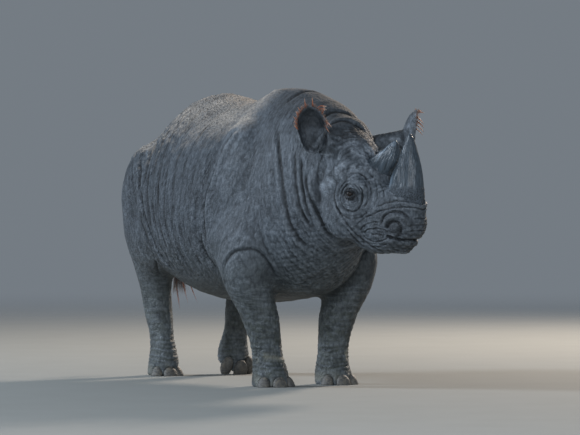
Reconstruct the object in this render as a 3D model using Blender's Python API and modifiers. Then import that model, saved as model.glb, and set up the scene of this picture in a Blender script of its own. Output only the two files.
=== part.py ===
"""A black rhinoceros (Diceros bicornis) at life size, standing with its head turned to its left and its
left hind heel raised. Metres, +X forward, +Y the animal's left, +Z up, the floor at z = 0.

The flesh is modelled whole: lofts for the body, head and legs and ellipsoids for the muscles are fused by a
voxel remesh, smoothed and creased, then parted with thin cuts into the pieces that a person would name.
Horns, eyes, ears, nails and tail are shapes of their own, each set against the flesh."""

import math

import bmesh
import bpy
import numpy as np
from mathutils import Matrix, Vector

# ---- driving dimensions --------------------------------------------------------------------------
FORWARD_SHIFT = 0.033  # puts the middle of the animal's length over the origin
GAP = 0.0003  # between pieces that touch
VOXEL = 0.010  # of the fused flesh
FLESH_TRIANGLES = 3480
DETAIL_OF_HEAD = 0.0002  # how much more finely the head is kept than the body

# The head's own frame: its origin midway between the eyes, "along" down the face, "up" out of the forehead.
EYES_MID = Vector((1.000, 0.080, 1.000))
HEAD_TURN = math.radians(21)
FACE_SLOPE = math.radians(27)
EYE_APART = 0.264
EYE_RADIUS = 0.024

# ---- the body's girth, from rump to throat -------------------------------------------------------
BELLY_SQUARENESS = 2.3
# (top x, top z, bottom x, bottom z, sideways shift, half width, how far up the widest place is, squareness
# of the back)
BODY_STATIONS = (
    (-1.362, 1.080, -1.335, 0.900, 0.000, 0.085, 0.50, 2.0),
    (-1.318, 1.195, -1.275, 0.790, 0.000, 0.190, 0.50, 1.9),
    (-1.205, 1.322, -1.150, 0.665, 0.000, 0.280, 0.46, 1.75),
    (-1.000, 1.435, -0.950, 0.555, 0.000, 0.360, 0.43, 1.65),
    (-0.790, 1.505, -0.760, 0.505, 0.000, 0.428, 0.41, 1.65),
    (-0.560, 1.526, -0.560, 0.455, 0.000, 0.465, 0.41, 1.75),
    (-0.280, 1.480, -0.290, 0.420, 0.000, 0.490, 0.42, 1.9),
    (-0.060, 1.476, -0.030, 0.418, 0.000, 0.475, 0.43, 1.9),
    (0.100, 1.522, 0.190, 0.435, 0.000, 0.425, 0.44, 1.85),
    (0.240, 1.548, 0.360, 0.450, 0.000, 0.372, 0.45, 1.85),
    (0.390, 1.538, 0.530, 0.485, 0.000, 0.322, 0.46, 1.9),
    (0.520, 1.518, 0.635, 0.550, 0.005, 0.282, 0.48, 2.0),
    (0.630, 1.488, 0.715, 0.620, 0.018, 0.255, 0.49, 2.1),
    (0.730, 1.445, 0.780, 0.690, 0.035, 0.222, 0.50, 2.1),
    (0.810, 1.380, 0.840, 0.740, 0.045, 0.190, 0.50, 2.1),
    (0.870, 1.300, 0.890, 0.800, 0.050, 0.145, 0.50, 2.1),
)

# ---- the head, from the back of the cheeks to the lip --------------------------------------------
# (along, top, bottom, half width, how far up the widest place is, squareness)
HEAD_STATIONS = (
    (-0.345, 0.190, -0.020, 0.100, 0.55, 2.1),
    (-0.300, 0.235, -0.090, 0.140, 0.55, 2.2),
    (-0.220, 0.250, -0.165, 0.160, 0.50, 2.3),
    (-0.130, 0.232, -0.212, 0.160, 0.47, 2.4),
    (-0.050, 0.186, -0.240, 0.148, 0.47, 2.5),
    (0.020, 0.150, -0.252, 0.134, 0.50, 2.5),
    (0.100, 0.134, -0.258, 0.122, 0.50, 2.5),
    (0.180, 0.122, -0.247, 0.112, 0.50, 2.5),
    (0.250, 0.116, -0.215, 0.106, 0.50, 2.6),
    (0.310, 0.110, -0.178, 0.100, 0.50, 2.6),
    (0.355, 0.090, -0.132, 0.080, 0.50, 2.5),
    (0.385, 0.062, -0.085, 0.052, 0.55, 2.3),
    (0.400, 0.030, -0.035, 0.022, 0.55, 2.0),
)

# ---- legs: joints from the body to the sole, and girths along them -------------------------------
# A joint is (x, y outwards, z, tilt of the section in degrees, toe down).
FORE_LEG_JOINTS = {
    "right": (
        (0.215, 0.250, 1.130, 0),
        (0.320, 0.300, 0.620, 0),
        (0.372, 0.232, 0.330, 0),
        (0.402, 0.203, 0.120, 0),
        (0.430, 0.198, -0.030, 0),
    ),
    "left": (
        (0.215, 0.250, 1.130, 0),
        (0.320, 0.300, 0.620, 0),
        (0.318, 0.226, 0.330, 0),
        (0.322, 0.200, 0.120, 0),
        (0.352, 0.202, -0.030, 0),
    ),
}
HIND_LEG_JOINTS = {
    "right": (
        (-1.050, 0.225, 1.060, 0),
        (-0.965, 0.262, 0.700, 0),
        (-1.000, 0.225, 0.410, 0),
        (-0.930, 0.220, 0.160, 0),
        (-0.922, 0.220, -0.030, 0),
    ),
    "left": (
        (-1.050, 0.225, 1.060, 0),
        (-0.920, 0.262, 0.700, 0),
        (-0.895, 0.228, 0.430, 4),
        (-0.932, 0.208, 0.200, 18),
        (-0.945, 0.203, 0.053, 33),
    ),
}
# (place along the joints, half length, half width)
FORE_LEG_GIRTHS = (
    (0.00, 0.170, 0.085),
    (0.35, 0.215, 0.118),
    (0.70, 0.210, 0.132),
    (1.00, 0.180, 0.134),
    (1.30, 0.150, 0.122),
    (1.65, 0.122, 0.106),
    (2.00, 0.106, 0.094),
    (2.35, 0.088, 0.084),
    (2.70, 0.084, 0.079),
    (3.00, 0.090, 0.084),
    (3.45, 0.106, 0.096),
    (3.80, 0.114, 0.102),
    (4.00, 0.114, 0.102),
)
HIND_LEG_GIRTHS = (
    (0.00, 0.230, 0.085),
    (0.35, 0.285, 0.120),
    (0.70, 0.280, 0.132),
    (1.00, 0.235, 0.122),
    (1.40, 0.168, 0.094),
    (1.70, 0.128, 0.080),
    (2.00, 0.110, 0.073),
    (2.35, 0.092, 0.072),
    (2.70, 0.078, 0.064),
    (3.00, 0.080, 0.066),
    (3.45, 0.100, 0.080),
    (3.80, 0.110, 0.088),
    (4.00, 0.110, 0.088),
)

# ---- muscles and other swellings -----------------------------------------------------------------
# On the body: (x, y outwards, z), (half length, half width, half height), lean in degrees. One on each side.
BODY_SWELLINGS = (
    ((0.215, 0.270, 1.020), (0.220, 0.145, 0.360), 8),  # shoulder blade
    ((0.215, 0.320, 0.760), (0.200, 0.115, 0.190), -12),  # upper arm
    ((-0.985, 0.255, 0.950), (0.280, 0.145, 0.310), -10),  # haunch
    ((-0.880, 0.280, 0.760), (0.225, 0.122, 0.210), 10),  # stifle
    ((0.250, 0.070, 1.420), (0.180, 0.085, 0.125), 0),  # withers
)
NAPE_ROLL = ((0.850, 0.025, 1.300), (0.055, 0.165, 0.108))  # the roll of skin behind the ears
# On the head: (along, outwards, up), (half length, half width, half height). One on each side.
HEAD_SWELLINGS = (
    ((-0.030, 0.088, -0.125), (0.172, 0.085, 0.132)),  # cheek
    ((0.005, 0.112, 0.056), (0.075, 0.042, 0.042)),  # brow
    ((-0.120, 0.120, 0.060), (0.090, 0.046, 0.060)),  # cheek bone, behind the eye
    ((-0.262, 0.140, 0.150), (0.062, 0.055, 0.070)),  # root of the ear
    ((0.300, 0.074, -0.008), (0.058, 0.040, 0.050)),  # wing of the nostril
    ((0.195, 0.084, -0.100), (0.055, 0.034, 0.046)),  # corner of the mouth
)
HEAD_MIDDLE_SWELLINGS = (
    ((0.252, 0.0, 0.100), (0.124, 0.096, 0.052)),  # under the front horn
    ((0.012, 0.0, 0.130), (0.100, 0.084, 0.050)),  # under the rear horn
    ((0.362, 0.0, -0.010), (0.044, 0.060, 0.062)),  # hooked upper lip
    ((0.318, 0.0, -0.130), (0.060, 0.068, 0.042)),  # lower lip
)

# ---- creases of the skin, cut on both sides: path in (x, z), half width, depth -------------------
BODY_CREASES = (
    (((0.165, 1.330), (0.095, 1.130), (0.045, 0.900), (0.075, 0.690), (0.200, 0.560)), 0.026, 0.014),
    (((-0.830, 1.330), (-0.745, 1.050), (-0.690, 0.830), (-0.640, 0.660), (-0.600, 0.500)), 0.026, 0.014),
)
CREASE_FADE = 0.15  # share of a crease at each end where it dies out
# On the head the paths are (along, up).
JAW_LINE = ((-0.215, 0.120), (-0.205, -0.040), (-0.150, -0.170), (-0.050, -0.255), (0.060, -0.285))
JAW_WIDTH, JAW_DEPTH = 0.022, 0.016
MOUTH_LINE = ((0.430, -0.066), (0.350, -0.072), (0.280, -0.086), (0.205, -0.100))
MOUTH_WIDTH, MOUTH_DEPTH = 0.009, 0.016
NOSTRIL = (0.312, 0.112, -0.004)
NOSTRIL_RADIUS, NOSTRIL_DEPTH = 0.017, 0.026

# ---- horns, ears, nails and tail -----------------------------------------------------------------
# A horn: base centre (along, up), its stations (height, sweep backwards, half length, half width). The front
# horn stands upright in the world, so it leans off the face; the rear one leans forward a little.
FRONT_HORN_BASE = (0.252, 0.112)
FRONT_HORN = (
    (-0.040, 0.008, 0.098, 0.0725),
    (0.015, 0.016, 0.104, 0.077),
    (0.070, 0.004, 0.090, 0.067),
    (0.130, 0.002, 0.080, 0.061),
    (0.183, -0.005, 0.062, 0.051),
    (0.236, -0.008, 0.043, 0.039),
    (0.288, -0.011, 0.023, 0.020),
    (0.312, -0.011, 0.011, 0.010),
    (0.321, -0.011, 0.004, 0.004),
)
REAR_HORN_BASE = (0.010, 0.138)
REAR_HORN = (
    (-0.035, 0.000, 0.080, 0.056),
    (0.010, 0.008, 0.090, 0.058),
    (0.060, -0.024, 0.077, 0.050),
    (0.105, -0.042, 0.064, 0.042),
    (0.145, -0.042, 0.040, 0.027),
    (0.180, -0.038, 0.014, 0.011),
    (0.190, -0.037, 0.004, 0.004),
)
REAR_HORN_LEAN = math.radians(0)

# An ear is a cup of skin carried out from the head on a stalk, which meets the cup's back.
EAR_LENGTH = {"right": 0.246, "left": 0.240}
EAR_WALL = 0.010
EAR_FLATNESS = {"right": 0.62, "left": 0.52}
# (share of the length, half width of the cup, half angle of its wall in degrees)
EAR_CUP = (
    (0.00, 0.012, 70),
    (0.10, 0.036, 100),
    (0.26, 0.055, 112),
    (0.46, 0.068, 108),
    (0.64, 0.073, 98),
    (0.82, 0.060, 84),
    (0.93, 0.040, 72),
    (1.00, 0.014, 60),
)
EAR_ROOT = (-0.277, 0.176, 0.140)
EAR_STALK_RADII = ((0.040, 0.040), (0.037, 0.042), (0.035, 0.046), (0.034, 0.052))  # across and up
EAR_STALK_MEETS = (0.34, 0.059)  # share of the cup's length, and the cup's half width there
EAR_STALK_SINKS = 0.004  # into the cup's wall
# In the turned but level head, as (forward, outwards, up): the foot of each cup, the way that the cup points,
# and the way that it opens.
EAR_POSE = {
    "right": ((-0.118, 0.290, 0.200), (0.000, 0.020, 0.262), (0.74, 0.66, 0.05)),
    "left": ((-0.030, 0.295, 0.195), (0.057, 0.055, 0.237), (0.62, 0.78, -0.10)),
}

TAIL_PATH = (
    (-1.290, 0.000, 1.170),
    (-1.380, 0.006, 1.110),
    (-1.396, 0.016, 0.990),
    (-1.390, 0.034, 0.840),
    (-1.376, 0.052, 0.700),
    (-1.364, 0.066, 0.600),
)
TAIL_RADII = (0.046, 0.038, 0.030, 0.024, 0.020, 0.018)
TAIL_SEAT_GAPS = 5  # the tail's root moves most, so its seat is this many gaps wide
TAIL_END_SLANT = 0.004  # how much lower one edge of the tail's end is than its middle
TUFT_LENGTH, TUFT_HALF_WIDTH, TUFT_HALF_DEPTH = 0.215, 0.036, 0.020

# Name, turn on the foot in degrees, share of the full width.
NAILS = (("inner", -54, 0.84), ("middle", 0, 1.0), ("outer", 54, 0.84))
NAIL_RISE = 0.028
NAIL_HALF_WIDTH, NAIL_HEIGHT, NAIL_THICKNESS = 0.043, 0.058, 0.026

# ---- the cuts ------------------------------------------------------------------------------------
NECK_CUT = 0.560  # x of the cut between trunk and neck, at mid height
NECK_CUT_LEAN = math.radians(-7)
HEAD_CUT = -0.250  # along the head
HEAD_CUT_LEAN = math.radians(-26)
HEAD_CELL_LOW, HEAD_CELL_HIGH = -0.360, 0.600
# The top of a leg's piece slopes: its height at the flank, and near the middle.
FLANK_Y, MIDDLE_Y, CELL_Y = 0.450, 0.030, 0.620
FORE_LEG_CUT = (0.680, 0.370)
HIND_LEG_CUT = (0.770, 0.440)
# Its rear and front faces: x at the floor, and at the flank's height.
FORE_LEG_SPAN = ((0.060, 0.150), (0.620, 0.470))
HIND_LEG_SPAN = ((-1.450, -1.450), (-0.690, -0.680))


# ---- general helpers -----------------------------------------------------------------------------
def clear_scene():
    for obj in list(bpy.data.objects):
        bpy.data.objects.remove(obj, do_unlink=True)


def collection(name):
    made = bpy.data.collections.new(name)
    bpy.context.scene.collection.children.link(made)
    return made


def material(name, colour, roughness):
    made = bpy.data.materials.new(name)
    made.use_nodes = True
    shader = made.node_tree.nodes["Principled BSDF"]
    shader.inputs["Base Color"].default_value = (*colour, 1)
    shader.inputs["Roughness"].default_value = roughness
    shader.inputs["Metallic"].default_value = 0
    return made


def add_object(name, mesh, where, finish=None):
    made = bpy.data.objects.new(name, mesh)
    where.objects.link(made)
    if finish:
        mesh.materials.clear()
        mesh.materials.append(finish)
    return made


def evaluated_mesh(obj):
    bpy.context.view_layer.update()
    graph = bpy.context.evaluated_depsgraph_get()
    return bpy.data.meshes.new_from_object(obj.evaluated_get(graph), depsgraph=graph)


def mesh_of(verts, faces):
    mesh = bpy.data.meshes.new("shape")
    mesh.from_pydata([tuple(v) for v in verts], [], faces)
    mesh.update()
    return mesh


def spline(rows, steps):
    """Rows of numbers made finer by a Catmull-Rom curve through them, steps to each span."""
    rows = np.array(rows, float)
    ends = np.vstack([2 * rows[0] - rows[1], rows, 2 * rows[-1] - rows[-2]])
    fine = []
    for i in range(len(rows) - 1):
        a, b, c, d = ends[i : i + 4]
        for t in np.arange(steps) / steps:
            fine.append(
                0.5
                * (2 * b + (c - a) * t + (2 * a - 5 * b + 4 * c - d) * t**2 + (3 * b - a - 3 * c + d) * t**3)
            )
    fine.append(rows[-1])
    return np.array(fine)


def oval(centre, across, up, half_width, above, below, squareness, sides):
    """A ring of points: an oval with its own height and squareness above and below the centre."""
    ring = []
    for k in range(sides):
        angle = 2 * math.pi * k / sides
        c, s = math.cos(angle), math.sin(angle)
        power = 2 / squareness[0 if s > 0 else 1]
        x = math.copysign(abs(c) ** power, c) * half_width
        y = math.copysign(abs(s) ** power, s) * (above if s > 0 else below)
        ring.append(centre + across * x + up * y)
    return ring


def circle(centre, across, up, half_width, half_height, sides):
    return oval(centre, across, up, half_width, half_height, half_height, (2, 2), sides)


def loft(rings):
    """A closed skin over rings of the same number of points, each end closed by one face."""
    sides = len(rings[0])
    verts = [point for ring in rings for point in ring]
    faces = [tuple(reversed(range(sides))), tuple(range((len(rings) - 1) * sides, len(rings) * sides))]
    for r in range(len(rings) - 1):
        for k in range(sides):
            low, next_k = r * sides, (k + 1) % sides
            faces.append((low + k, low + next_k, low + sides + next_k, low + sides + k))
    mesh = mesh_of(verts, faces)
    face_out(mesh)
    return mesh


def face_out(mesh):
    shape = bmesh.new()
    shape.from_mesh(mesh)
    bmesh.ops.recalc_face_normals(shape, faces=shape.faces)
    shape.to_mesh(mesh)
    shape.free()


def ellipsoid(matrix, half_sizes, segments=24, rings=14):
    shape = bmesh.new()
    bmesh.ops.create_uvsphere(shape, u_segments=segments, v_segments=rings, radius=1)
    size = Matrix.Diagonal((*half_sizes, 1))
    bmesh.ops.transform(shape, matrix=matrix @ size, verts=shape.verts)
    mesh = bpy.data.meshes.new("ellipsoid")
    shape.to_mesh(mesh)
    shape.free()
    return mesh


def box_cutter(name, matrix, half_sizes, where):
    """A box with its own frame, as a cutter that doesn't render."""
    shape = bmesh.new()
    bmesh.ops.create_cube(shape, size=2)
    bmesh.ops.transform(shape, matrix=matrix @ Matrix.Diagonal((*half_sizes, 1)), verts=shape.verts)
    mesh = bpy.data.meshes.new(name)
    shape.to_mesh(mesh)
    shape.free()
    return as_cutter(add_object(name, mesh, where))


def as_cutter(obj):
    obj.hide_render = True
    obj.display_type = "WIRE"
    return obj


def boolean(obj, cutter, operation):
    cut = obj.modifiers.new(f"{operation.lower()} {cutter.name}", "BOOLEAN")
    cut.operation = operation
    cut.object = cutter
    cut.solver = "EXACT"
    return cut


def head_frame():
    """The matrix from the head's own axes (along the face, left, up out of the forehead) to the world."""
    turn = Matrix.Rotation(HEAD_TURN, 4, "Z")
    slope = Matrix.Rotation(FACE_SLOPE, 4, "Y")
    return Matrix.Translation(EYES_MID) @ turn @ slope


HEAD = head_frame()
SIDES = {"right": -1, "left": 1}


# ---- the flesh -----------------------------------------------------------------------------------
def body_loft():
    rings = []
    for top_x, top_z, low_x, low_z, shift, half_width, wide, back in spline(BODY_STATIONS, 5):
        top, low = Vector((top_x, shift, top_z)), Vector((low_x, shift, low_z))
        up = top - low
        height = up.length
        centre = low + up * wide
        turn = HEAD_TURN * min(1, max(0, (top_x - 0.45) / 0.5)) * 0.6
        across = Vector((-math.sin(turn), math.cos(turn), 0))
        above, below = height * (1 - wide), height * wide
        squareness = (back, BELLY_SQUARENESS)
        rings.append(oval(centre, across, up / height, half_width, above, below, squareness, 40))
    return loft(rings)


def head_loft():
    rings = []
    across = HEAD.to_3x3() @ Vector((0, 1, 0))
    up = HEAD.to_3x3() @ Vector((0, 0, 1))
    for along, top, low, half_width, wide, square in spline(HEAD_STATIONS, 4):
        middle = low + (top - low) * wide
        centre = HEAD @ Vector((along, 0, middle))
        rings.append(oval(centre, across, up, half_width, top - middle, middle - low, (square, square), 36))
    return loft(rings)


def leg_loft(joints, girths, side):
    path = spline(joints, 20)
    rings = []
    for place, half_length, half_width in spline(girths, 4):
        x, y, z, tilt = path[min(len(path) - 1, round(place * 20))]
        tilt = math.radians(tilt)
        forward = Vector((math.cos(tilt), 0, -math.sin(tilt)))
        centre = Vector((x, side * y, z))
        rings.append(circle(centre, forward, Vector((0, 1, 0)), half_length, half_width, 28))
    return loft(rings)


def swellings():
    meshes = []
    for side in SIDES.values():
        for (x, y, z), sizes, lean in BODY_SWELLINGS:
            place = Matrix.Translation((x, side * y, z)) @ Matrix.Rotation(math.radians(lean), 4, "Y")
            meshes.append(ellipsoid(place, sizes))
        for (along, out, up), sizes in HEAD_SWELLINGS:
            meshes.append(ellipsoid(HEAD @ Matrix.Translation((along, side * out, up)), sizes))
    for place, sizes in HEAD_MIDDLE_SWELLINGS:
        meshes.append(ellipsoid(HEAD @ Matrix.Translation(place), sizes))
    place, sizes = NAPE_ROLL
    meshes.append(ellipsoid(Matrix.Translation(place) @ Matrix.Rotation(HEAD_TURN * 0.7, 4, "Z"), sizes))
    return meshes


def joined(meshes):
    shape = bmesh.new()
    for mesh in meshes:
        shape.from_mesh(mesh)
    made = bpy.data.meshes.new("flesh blocks")
    shape.to_mesh(made)
    shape.free()
    return made


def points_of(mesh):
    points = np.empty(len(mesh.vertices) * 3)
    mesh.vertices.foreach_get("co", points)
    return points.reshape(-1, 3)


def normals_of(mesh):
    normals = np.empty(len(mesh.vertices) * 3)
    mesh.vertex_normals.foreach_get("vector", normals)
    return normals.reshape(-1, 3)


def in_head(points):
    """World points in the head's own axes."""
    inverse = np.array(HEAD.inverted())
    return points @ inverse[:3, :3].T + inverse[:3, 3]


def step(values, low, high):
    t = np.clip((values - low) / (high - low), 0, 1)
    return t * t * (3 - 2 * t)


def crease_depth(flat, path, width, depth):
    """Inward travel of a crease along a smooth path in a plane, with soft lips, fading at its ends."""
    line = spline(path, 6)
    distance, place = np.full(len(flat), 1e9), np.zeros(len(flat))
    for i, (a, b) in enumerate(zip(line[:-1], line[1:])):
        along = b - a
        t = np.clip((flat - a) @ along / (along @ along), 0, 1)
        away = np.linalg.norm(flat - (a + t[:, None] * along), axis=1)
        nearer = away < distance
        distance[nearer], place[nearer] = away[nearer], (i + t[nearer]) / (len(line) - 1)
    near = np.exp(-((distance / width) ** 2))
    lip = np.exp(-(((distance - 2.0 * width) / width) ** 2))
    fade = step(place, 0.0, CREASE_FADE) * step(1 - place, 0.0, CREASE_FADE)
    return depth * (0.35 * lip - near) * fade


def crease(mesh):
    points, normals = points_of(mesh), normals_of(mesh)
    travel = np.zeros(len(points))
    head = in_head(points)
    off_head = step(-head[:, 0], 0.10, 0.22)
    side_on = step(np.abs(normals[:, 1]), 0.15, 0.5)
    for path, width, depth in BODY_CREASES:
        travel += crease_depth(points[:, [0, 2]], path, width, depth) * off_head * side_on
    face = head[:, [0, 2]]
    travel += crease_depth(face, MOUTH_LINE, MOUTH_WIDTH, MOUTH_DEPTH) * step(head[:, 0], -0.20, -0.05)
    on_cheek = step(head[:, 0], -0.30, -0.24) * side_on
    travel += crease_depth(face, JAW_LINE, JAW_WIDTH, JAW_DEPTH) * on_cheek
    for side in SIDES.values():
        away = np.linalg.norm(head - np.array((NOSTRIL[0], side * NOSTRIL[1], NOSTRIL[2])), axis=1)
        travel -= NOSTRIL_DEPTH * np.exp(-((away / NOSTRIL_RADIUS) ** 2))
    mesh.vertices.foreach_set("co", (points + normals * travel[:, None]).ravel())
    mesh.update()


def weigh(obj, name, weights):
    group = obj.vertex_groups.new(name=name)
    for level in range(11):
        chosen = np.flatnonzero(np.round(weights * 10) == level)
        group.add([int(i) for i in chosen], level / 10, "REPLACE")


def smooth(obj, group, repeats):
    modifier = obj.modifiers.new(f"smooth {group}", "SMOOTH")
    modifier.factor = 0.5
    modifier.iterations = repeats
    modifier.vertex_group = group


def whole_flesh(where):
    blocks = [body_loft(), head_loft(), *swellings()]
    for name, side in SIDES.items():
        blocks.append(leg_loft(FORE_LEG_JOINTS[name], FORE_LEG_GIRTHS, side))
        blocks.append(leg_loft(HIND_LEG_JOINTS[name], HIND_LEG_GIRTHS, side))
    fused = as_cutter(add_object("flesh_blocks", joined(blocks), where))
    remesh = fused.modifiers.new("fuse", "REMESH")
    remesh.mode = "VOXEL"
    remesh.voxel_size = VOXEL

    soft = as_cutter(add_object("flesh_soft", evaluated_mesh(fused), where))
    points = points_of(soft.data)
    head = in_head(points)
    on_body = 1 - step(head[:, 0], -0.30, -0.15)
    on_trunk = on_body * step(points[:, 2], 0.36, 0.56)
    weigh(soft, "trunk", on_trunk)
    weigh(soft, "all", 0.6 + 0.4 * on_body)
    smooth(soft, "trunk", 60)
    smooth(soft, "all", 9)

    creased = evaluated_mesh(soft)
    crease(creased)
    flesh = as_cutter(add_object("flesh", creased, where))
    head = in_head(points_of(creased))
    weigh(flesh, "plain", 1 - step(head[:, 0], -0.28, -0.10) * 0.7)
    smooth_once = flesh.modifiers.new("ease", "SMOOTH")
    smooth_once.factor = 0.4
    smooth_once.iterations = 1
    thin = flesh.modifiers.new("thin out", "DECIMATE")
    thin.vertex_group = "plain"
    thin.vertex_group_factor = DETAIL_OF_HEAD
    thin.ratio = FLESH_TRIANGLES / (2 * len(creased.polygons))
    made = as_cutter(add_object("flesh_whole", evaluated_mesh(flesh), where))
    face_out(made.data)
    return made


def grown(flesh, amount, where):
    """The flesh moved out by a small gap, to cut what is set against it."""
    mesh = flesh.data.copy()
    mesh.vertices.foreach_set("co", (points_of(mesh) + normals_of(mesh) * amount).ravel())
    mesh.update()
    return as_cutter(add_object("flesh_grown", mesh, where))


# ---- parting the flesh ---------------------------------------------------------------------------
def neck_cell(where, reach):
    """All that is ahead of the trunk; reach widens the cell by the gap."""
    place = Matrix.Translation((NECK_CUT, 0, 1.0)) @ Matrix.Rotation(NECK_CUT_LEAN, 4, "Y")
    place = place @ Matrix.Rotation(HEAD_TURN * 0.25, 4, "Z") @ Matrix.Translation((1.0 - reach, 0, 0))
    return box_cutter(f"neck_cell_{reach > 0}", place, (1.0, 0.6, 1.2), where)


def head_cell(where, reach):
    middle, half = (HEAD_CELL_HIGH + HEAD_CELL_LOW) / 2, (HEAD_CELL_HIGH - HEAD_CELL_LOW) / 2
    leaning = HEAD @ Matrix.Rotation(HEAD_CUT_LEAN, 4, "Y")
    place = leaning @ Matrix.Translation((HEAD_CUT + 0.6 - reach, 0, middle))
    return box_cutter(f"head_cell_{reach > 0}", place, (0.6, 0.5, half + reach), where)


def leg_cell(name, span, heights, side, reach, where):
    """A box round one leg, its top sloping down towards the middle and its ends leaning."""
    flank, middle = heights
    slope = (flank - middle) / (FLANK_Y - MIDDLE_Y)
    floor = -0.2 if reach else 0.0
    corners = []
    for (low_x, high_x), outwards in zip(span, (-1, 1)):
        for y in (MIDDLE_Y - reach, CELL_Y):
            top = middle + slope * (y - MIDDLE_Y) + reach
            for z in (floor, top):
                x = low_x + (high_x - low_x) * z / flank
                corners.append((x + outwards * reach, side * y, z))
    faces = ((0, 1, 3, 2), (4, 6, 7, 5), (0, 4, 5, 1), (2, 3, 7, 6), (0, 2, 6, 4), (1, 5, 7, 3))
    mesh = mesh_of(corners, faces)
    face_out(mesh)
    return as_cutter(add_object(name, mesh, where))


def flesh_piece(name, flesh, cells, cuts, where, finish):
    """The part of the flesh inside every cell and outside every cut."""
    piece = add_object(name, flesh.data.copy(), where, finish)
    for cut in cuts:
        boolean(piece, cut, "DIFFERENCE")
    for cell in cells:
        boolean(piece, cell, "INTERSECT")
    return piece


# ---- horns, eyes, ears, nails, tail --------------------------------------------------------------
# Each is made twice: as itself, and a gap larger as the seat that is cut from the flesh.
def horn_shape(base, stations, lean, growth):
    """A horn lofted from oval rings; its foot is let into the face."""
    place = HEAD @ Matrix.Translation((base[0], 0, base[1])) @ Matrix.Rotation(-lean, 4, "Y")
    turn = place.to_3x3()
    forward, across = turn @ Vector((1, 0, 0)), turn @ Vector((0, 1, 0))
    rows = spline(stations, 2)
    rings = []
    for i, (height, sweep, half_length, half_width) in enumerate(rows):
        centre = place @ Vector((-sweep, 0, height - (growth if i == 0 else 0)))
        rings.append(circle(centre, forward, across, half_length + growth, half_width + growth, 14))
    return loft(rings)


def ear_axes(side_name):
    """Place and directions of an ear's cup in the world: foot, the way it points, opens, and its sideways."""
    side = SIDES[side_name]
    level = Matrix.Rotation(HEAD_TURN, 3, "Z")
    foot, points, opens = (level @ Vector((f, side * o, u)) for f, o, u in EAR_POSE[side_name])
    points = points.normalized()
    opens = (opens - points * opens.dot(points)).normalized()
    return Vector(EYES_MID) + foot, points, opens, points.cross(opens)


def ear_stalk(side_name, growth):
    """The solid stalk of an ear, let into the head below and grown to the cup's back above."""
    foot, points, opens, _ = ear_axes(side_name)
    root = HEAD @ Vector((EAR_ROOT[0], SIDES[side_name] * EAR_ROOT[1], EAR_ROOT[2]))
    share, half_width = EAR_STALK_MEETS
    depth = EAR_FLATNESS[side_name] * half_width - EAR_STALK_SINKS
    top = foot + points * (share * EAR_LENGTH[side_name]) - opens * depth
    along = (top - root).normalized()
    rings = []
    for i, (wide, high) in enumerate(EAR_STALK_RADII):
        part_way = i / (len(EAR_STALK_RADII) - 1)
        centre = root + (top - root) * part_way - along * (growth if i == 0 else 0)
        facing = (along * (1 - part_way) + opens * part_way).normalized()
        across = facing.cross(Vector((0, 0, 1))).normalized()
        rings.append(circle(centre, across, facing.cross(across), wide + growth, high + growth, 10))
    return loft(rings)


def ear(side_name, where, finish):
    """A cup of skin: a sheet curled round at the foot and wide open above."""
    foot, points, opens, across = ear_axes(side_name)
    around = 8
    verts, faces = [], []
    for share, half_width, half_angle in EAR_CUP:
        centre = foot + points * (share * EAR_LENGTH[side_name])
        for k in range(around + 1):
            angle = math.radians(half_angle) * (2 * k / around - 1)
            inwards = -math.cos(angle) * EAR_FLATNESS[side_name] * half_width
            verts.append(centre + opens * inwards + across * math.sin(angle) * half_width)
    for r in range(len(EAR_CUP) - 1):
        for k in range(around):
            a = r * (around + 1) + k
            faces.append((a, a + 1, a + around + 2, a + around + 1))
    made = add_object(f"ear_{side_name}", mesh_of(verts, faces), where, finish)
    wall = made.modifiers.new("wall", "SOLIDIFY")
    wall.thickness = EAR_WALL
    wall.offset = 0
    return made


def eye_ball(side, growth):
    centre = HEAD @ Vector((0.0, side * EYE_APART / 2, 0.0))
    return ellipsoid(Matrix.Translation(centre), (EYE_RADIUS + growth,) * 3, 14, 8)


def nail_place(joints, girths, side, angle):
    """Where a nail sits: on the foot's front rim, facing out, upright on the tilted sole."""
    x, y, z, tilt = joints[-1]
    tilt = math.radians(tilt)
    half_length, half_width = girths[-1][1], girths[-1][2]
    turned = math.radians(angle)
    foot = Matrix.Translation((x, side * y, z)) @ Matrix.Rotation(tilt, 4, "Y")
    reach = Vector(((half_length - 0.012) * math.cos(turned), (half_width - 0.006) * math.sin(turned), 0))
    return foot @ Matrix.Translation(reach) @ Matrix.Rotation(turned, 4, "Z")


def nail(place, scale, growth):
    """A rounded hoof nail, leaning back a little."""
    lean = Matrix.Rotation(math.radians(-16), 4, "Y")
    sizes = (NAIL_THICKNESS + growth, NAIL_HALF_WIDTH * scale + growth, NAIL_HEIGHT + growth)
    return ellipsoid(place @ Matrix.Translation((0.0, 0, NAIL_RISE)) @ lean, sizes, 10, 6)


def tail_shape(growth):
    rings = spline([(*p, r) for p, r in zip(TAIL_PATH, TAIL_RADII)], 2)
    skin = []
    for i, ring in enumerate(rings):
        before, after = rings[max(0, i - 1)], rings[min(len(rings) - 1, i + 1)]
        along = Vector(after[:3] - before[:3]).normalized()
        across = Vector((0, 1, 0))
        radius = ring[3] + growth
        centre = Vector(ring[:3]) - along * (growth if i == 0 else 0)
        skin.append(circle(centre, across, along.cross(across).normalized(), radius, radius, 10))
    return loft(skin)


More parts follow.
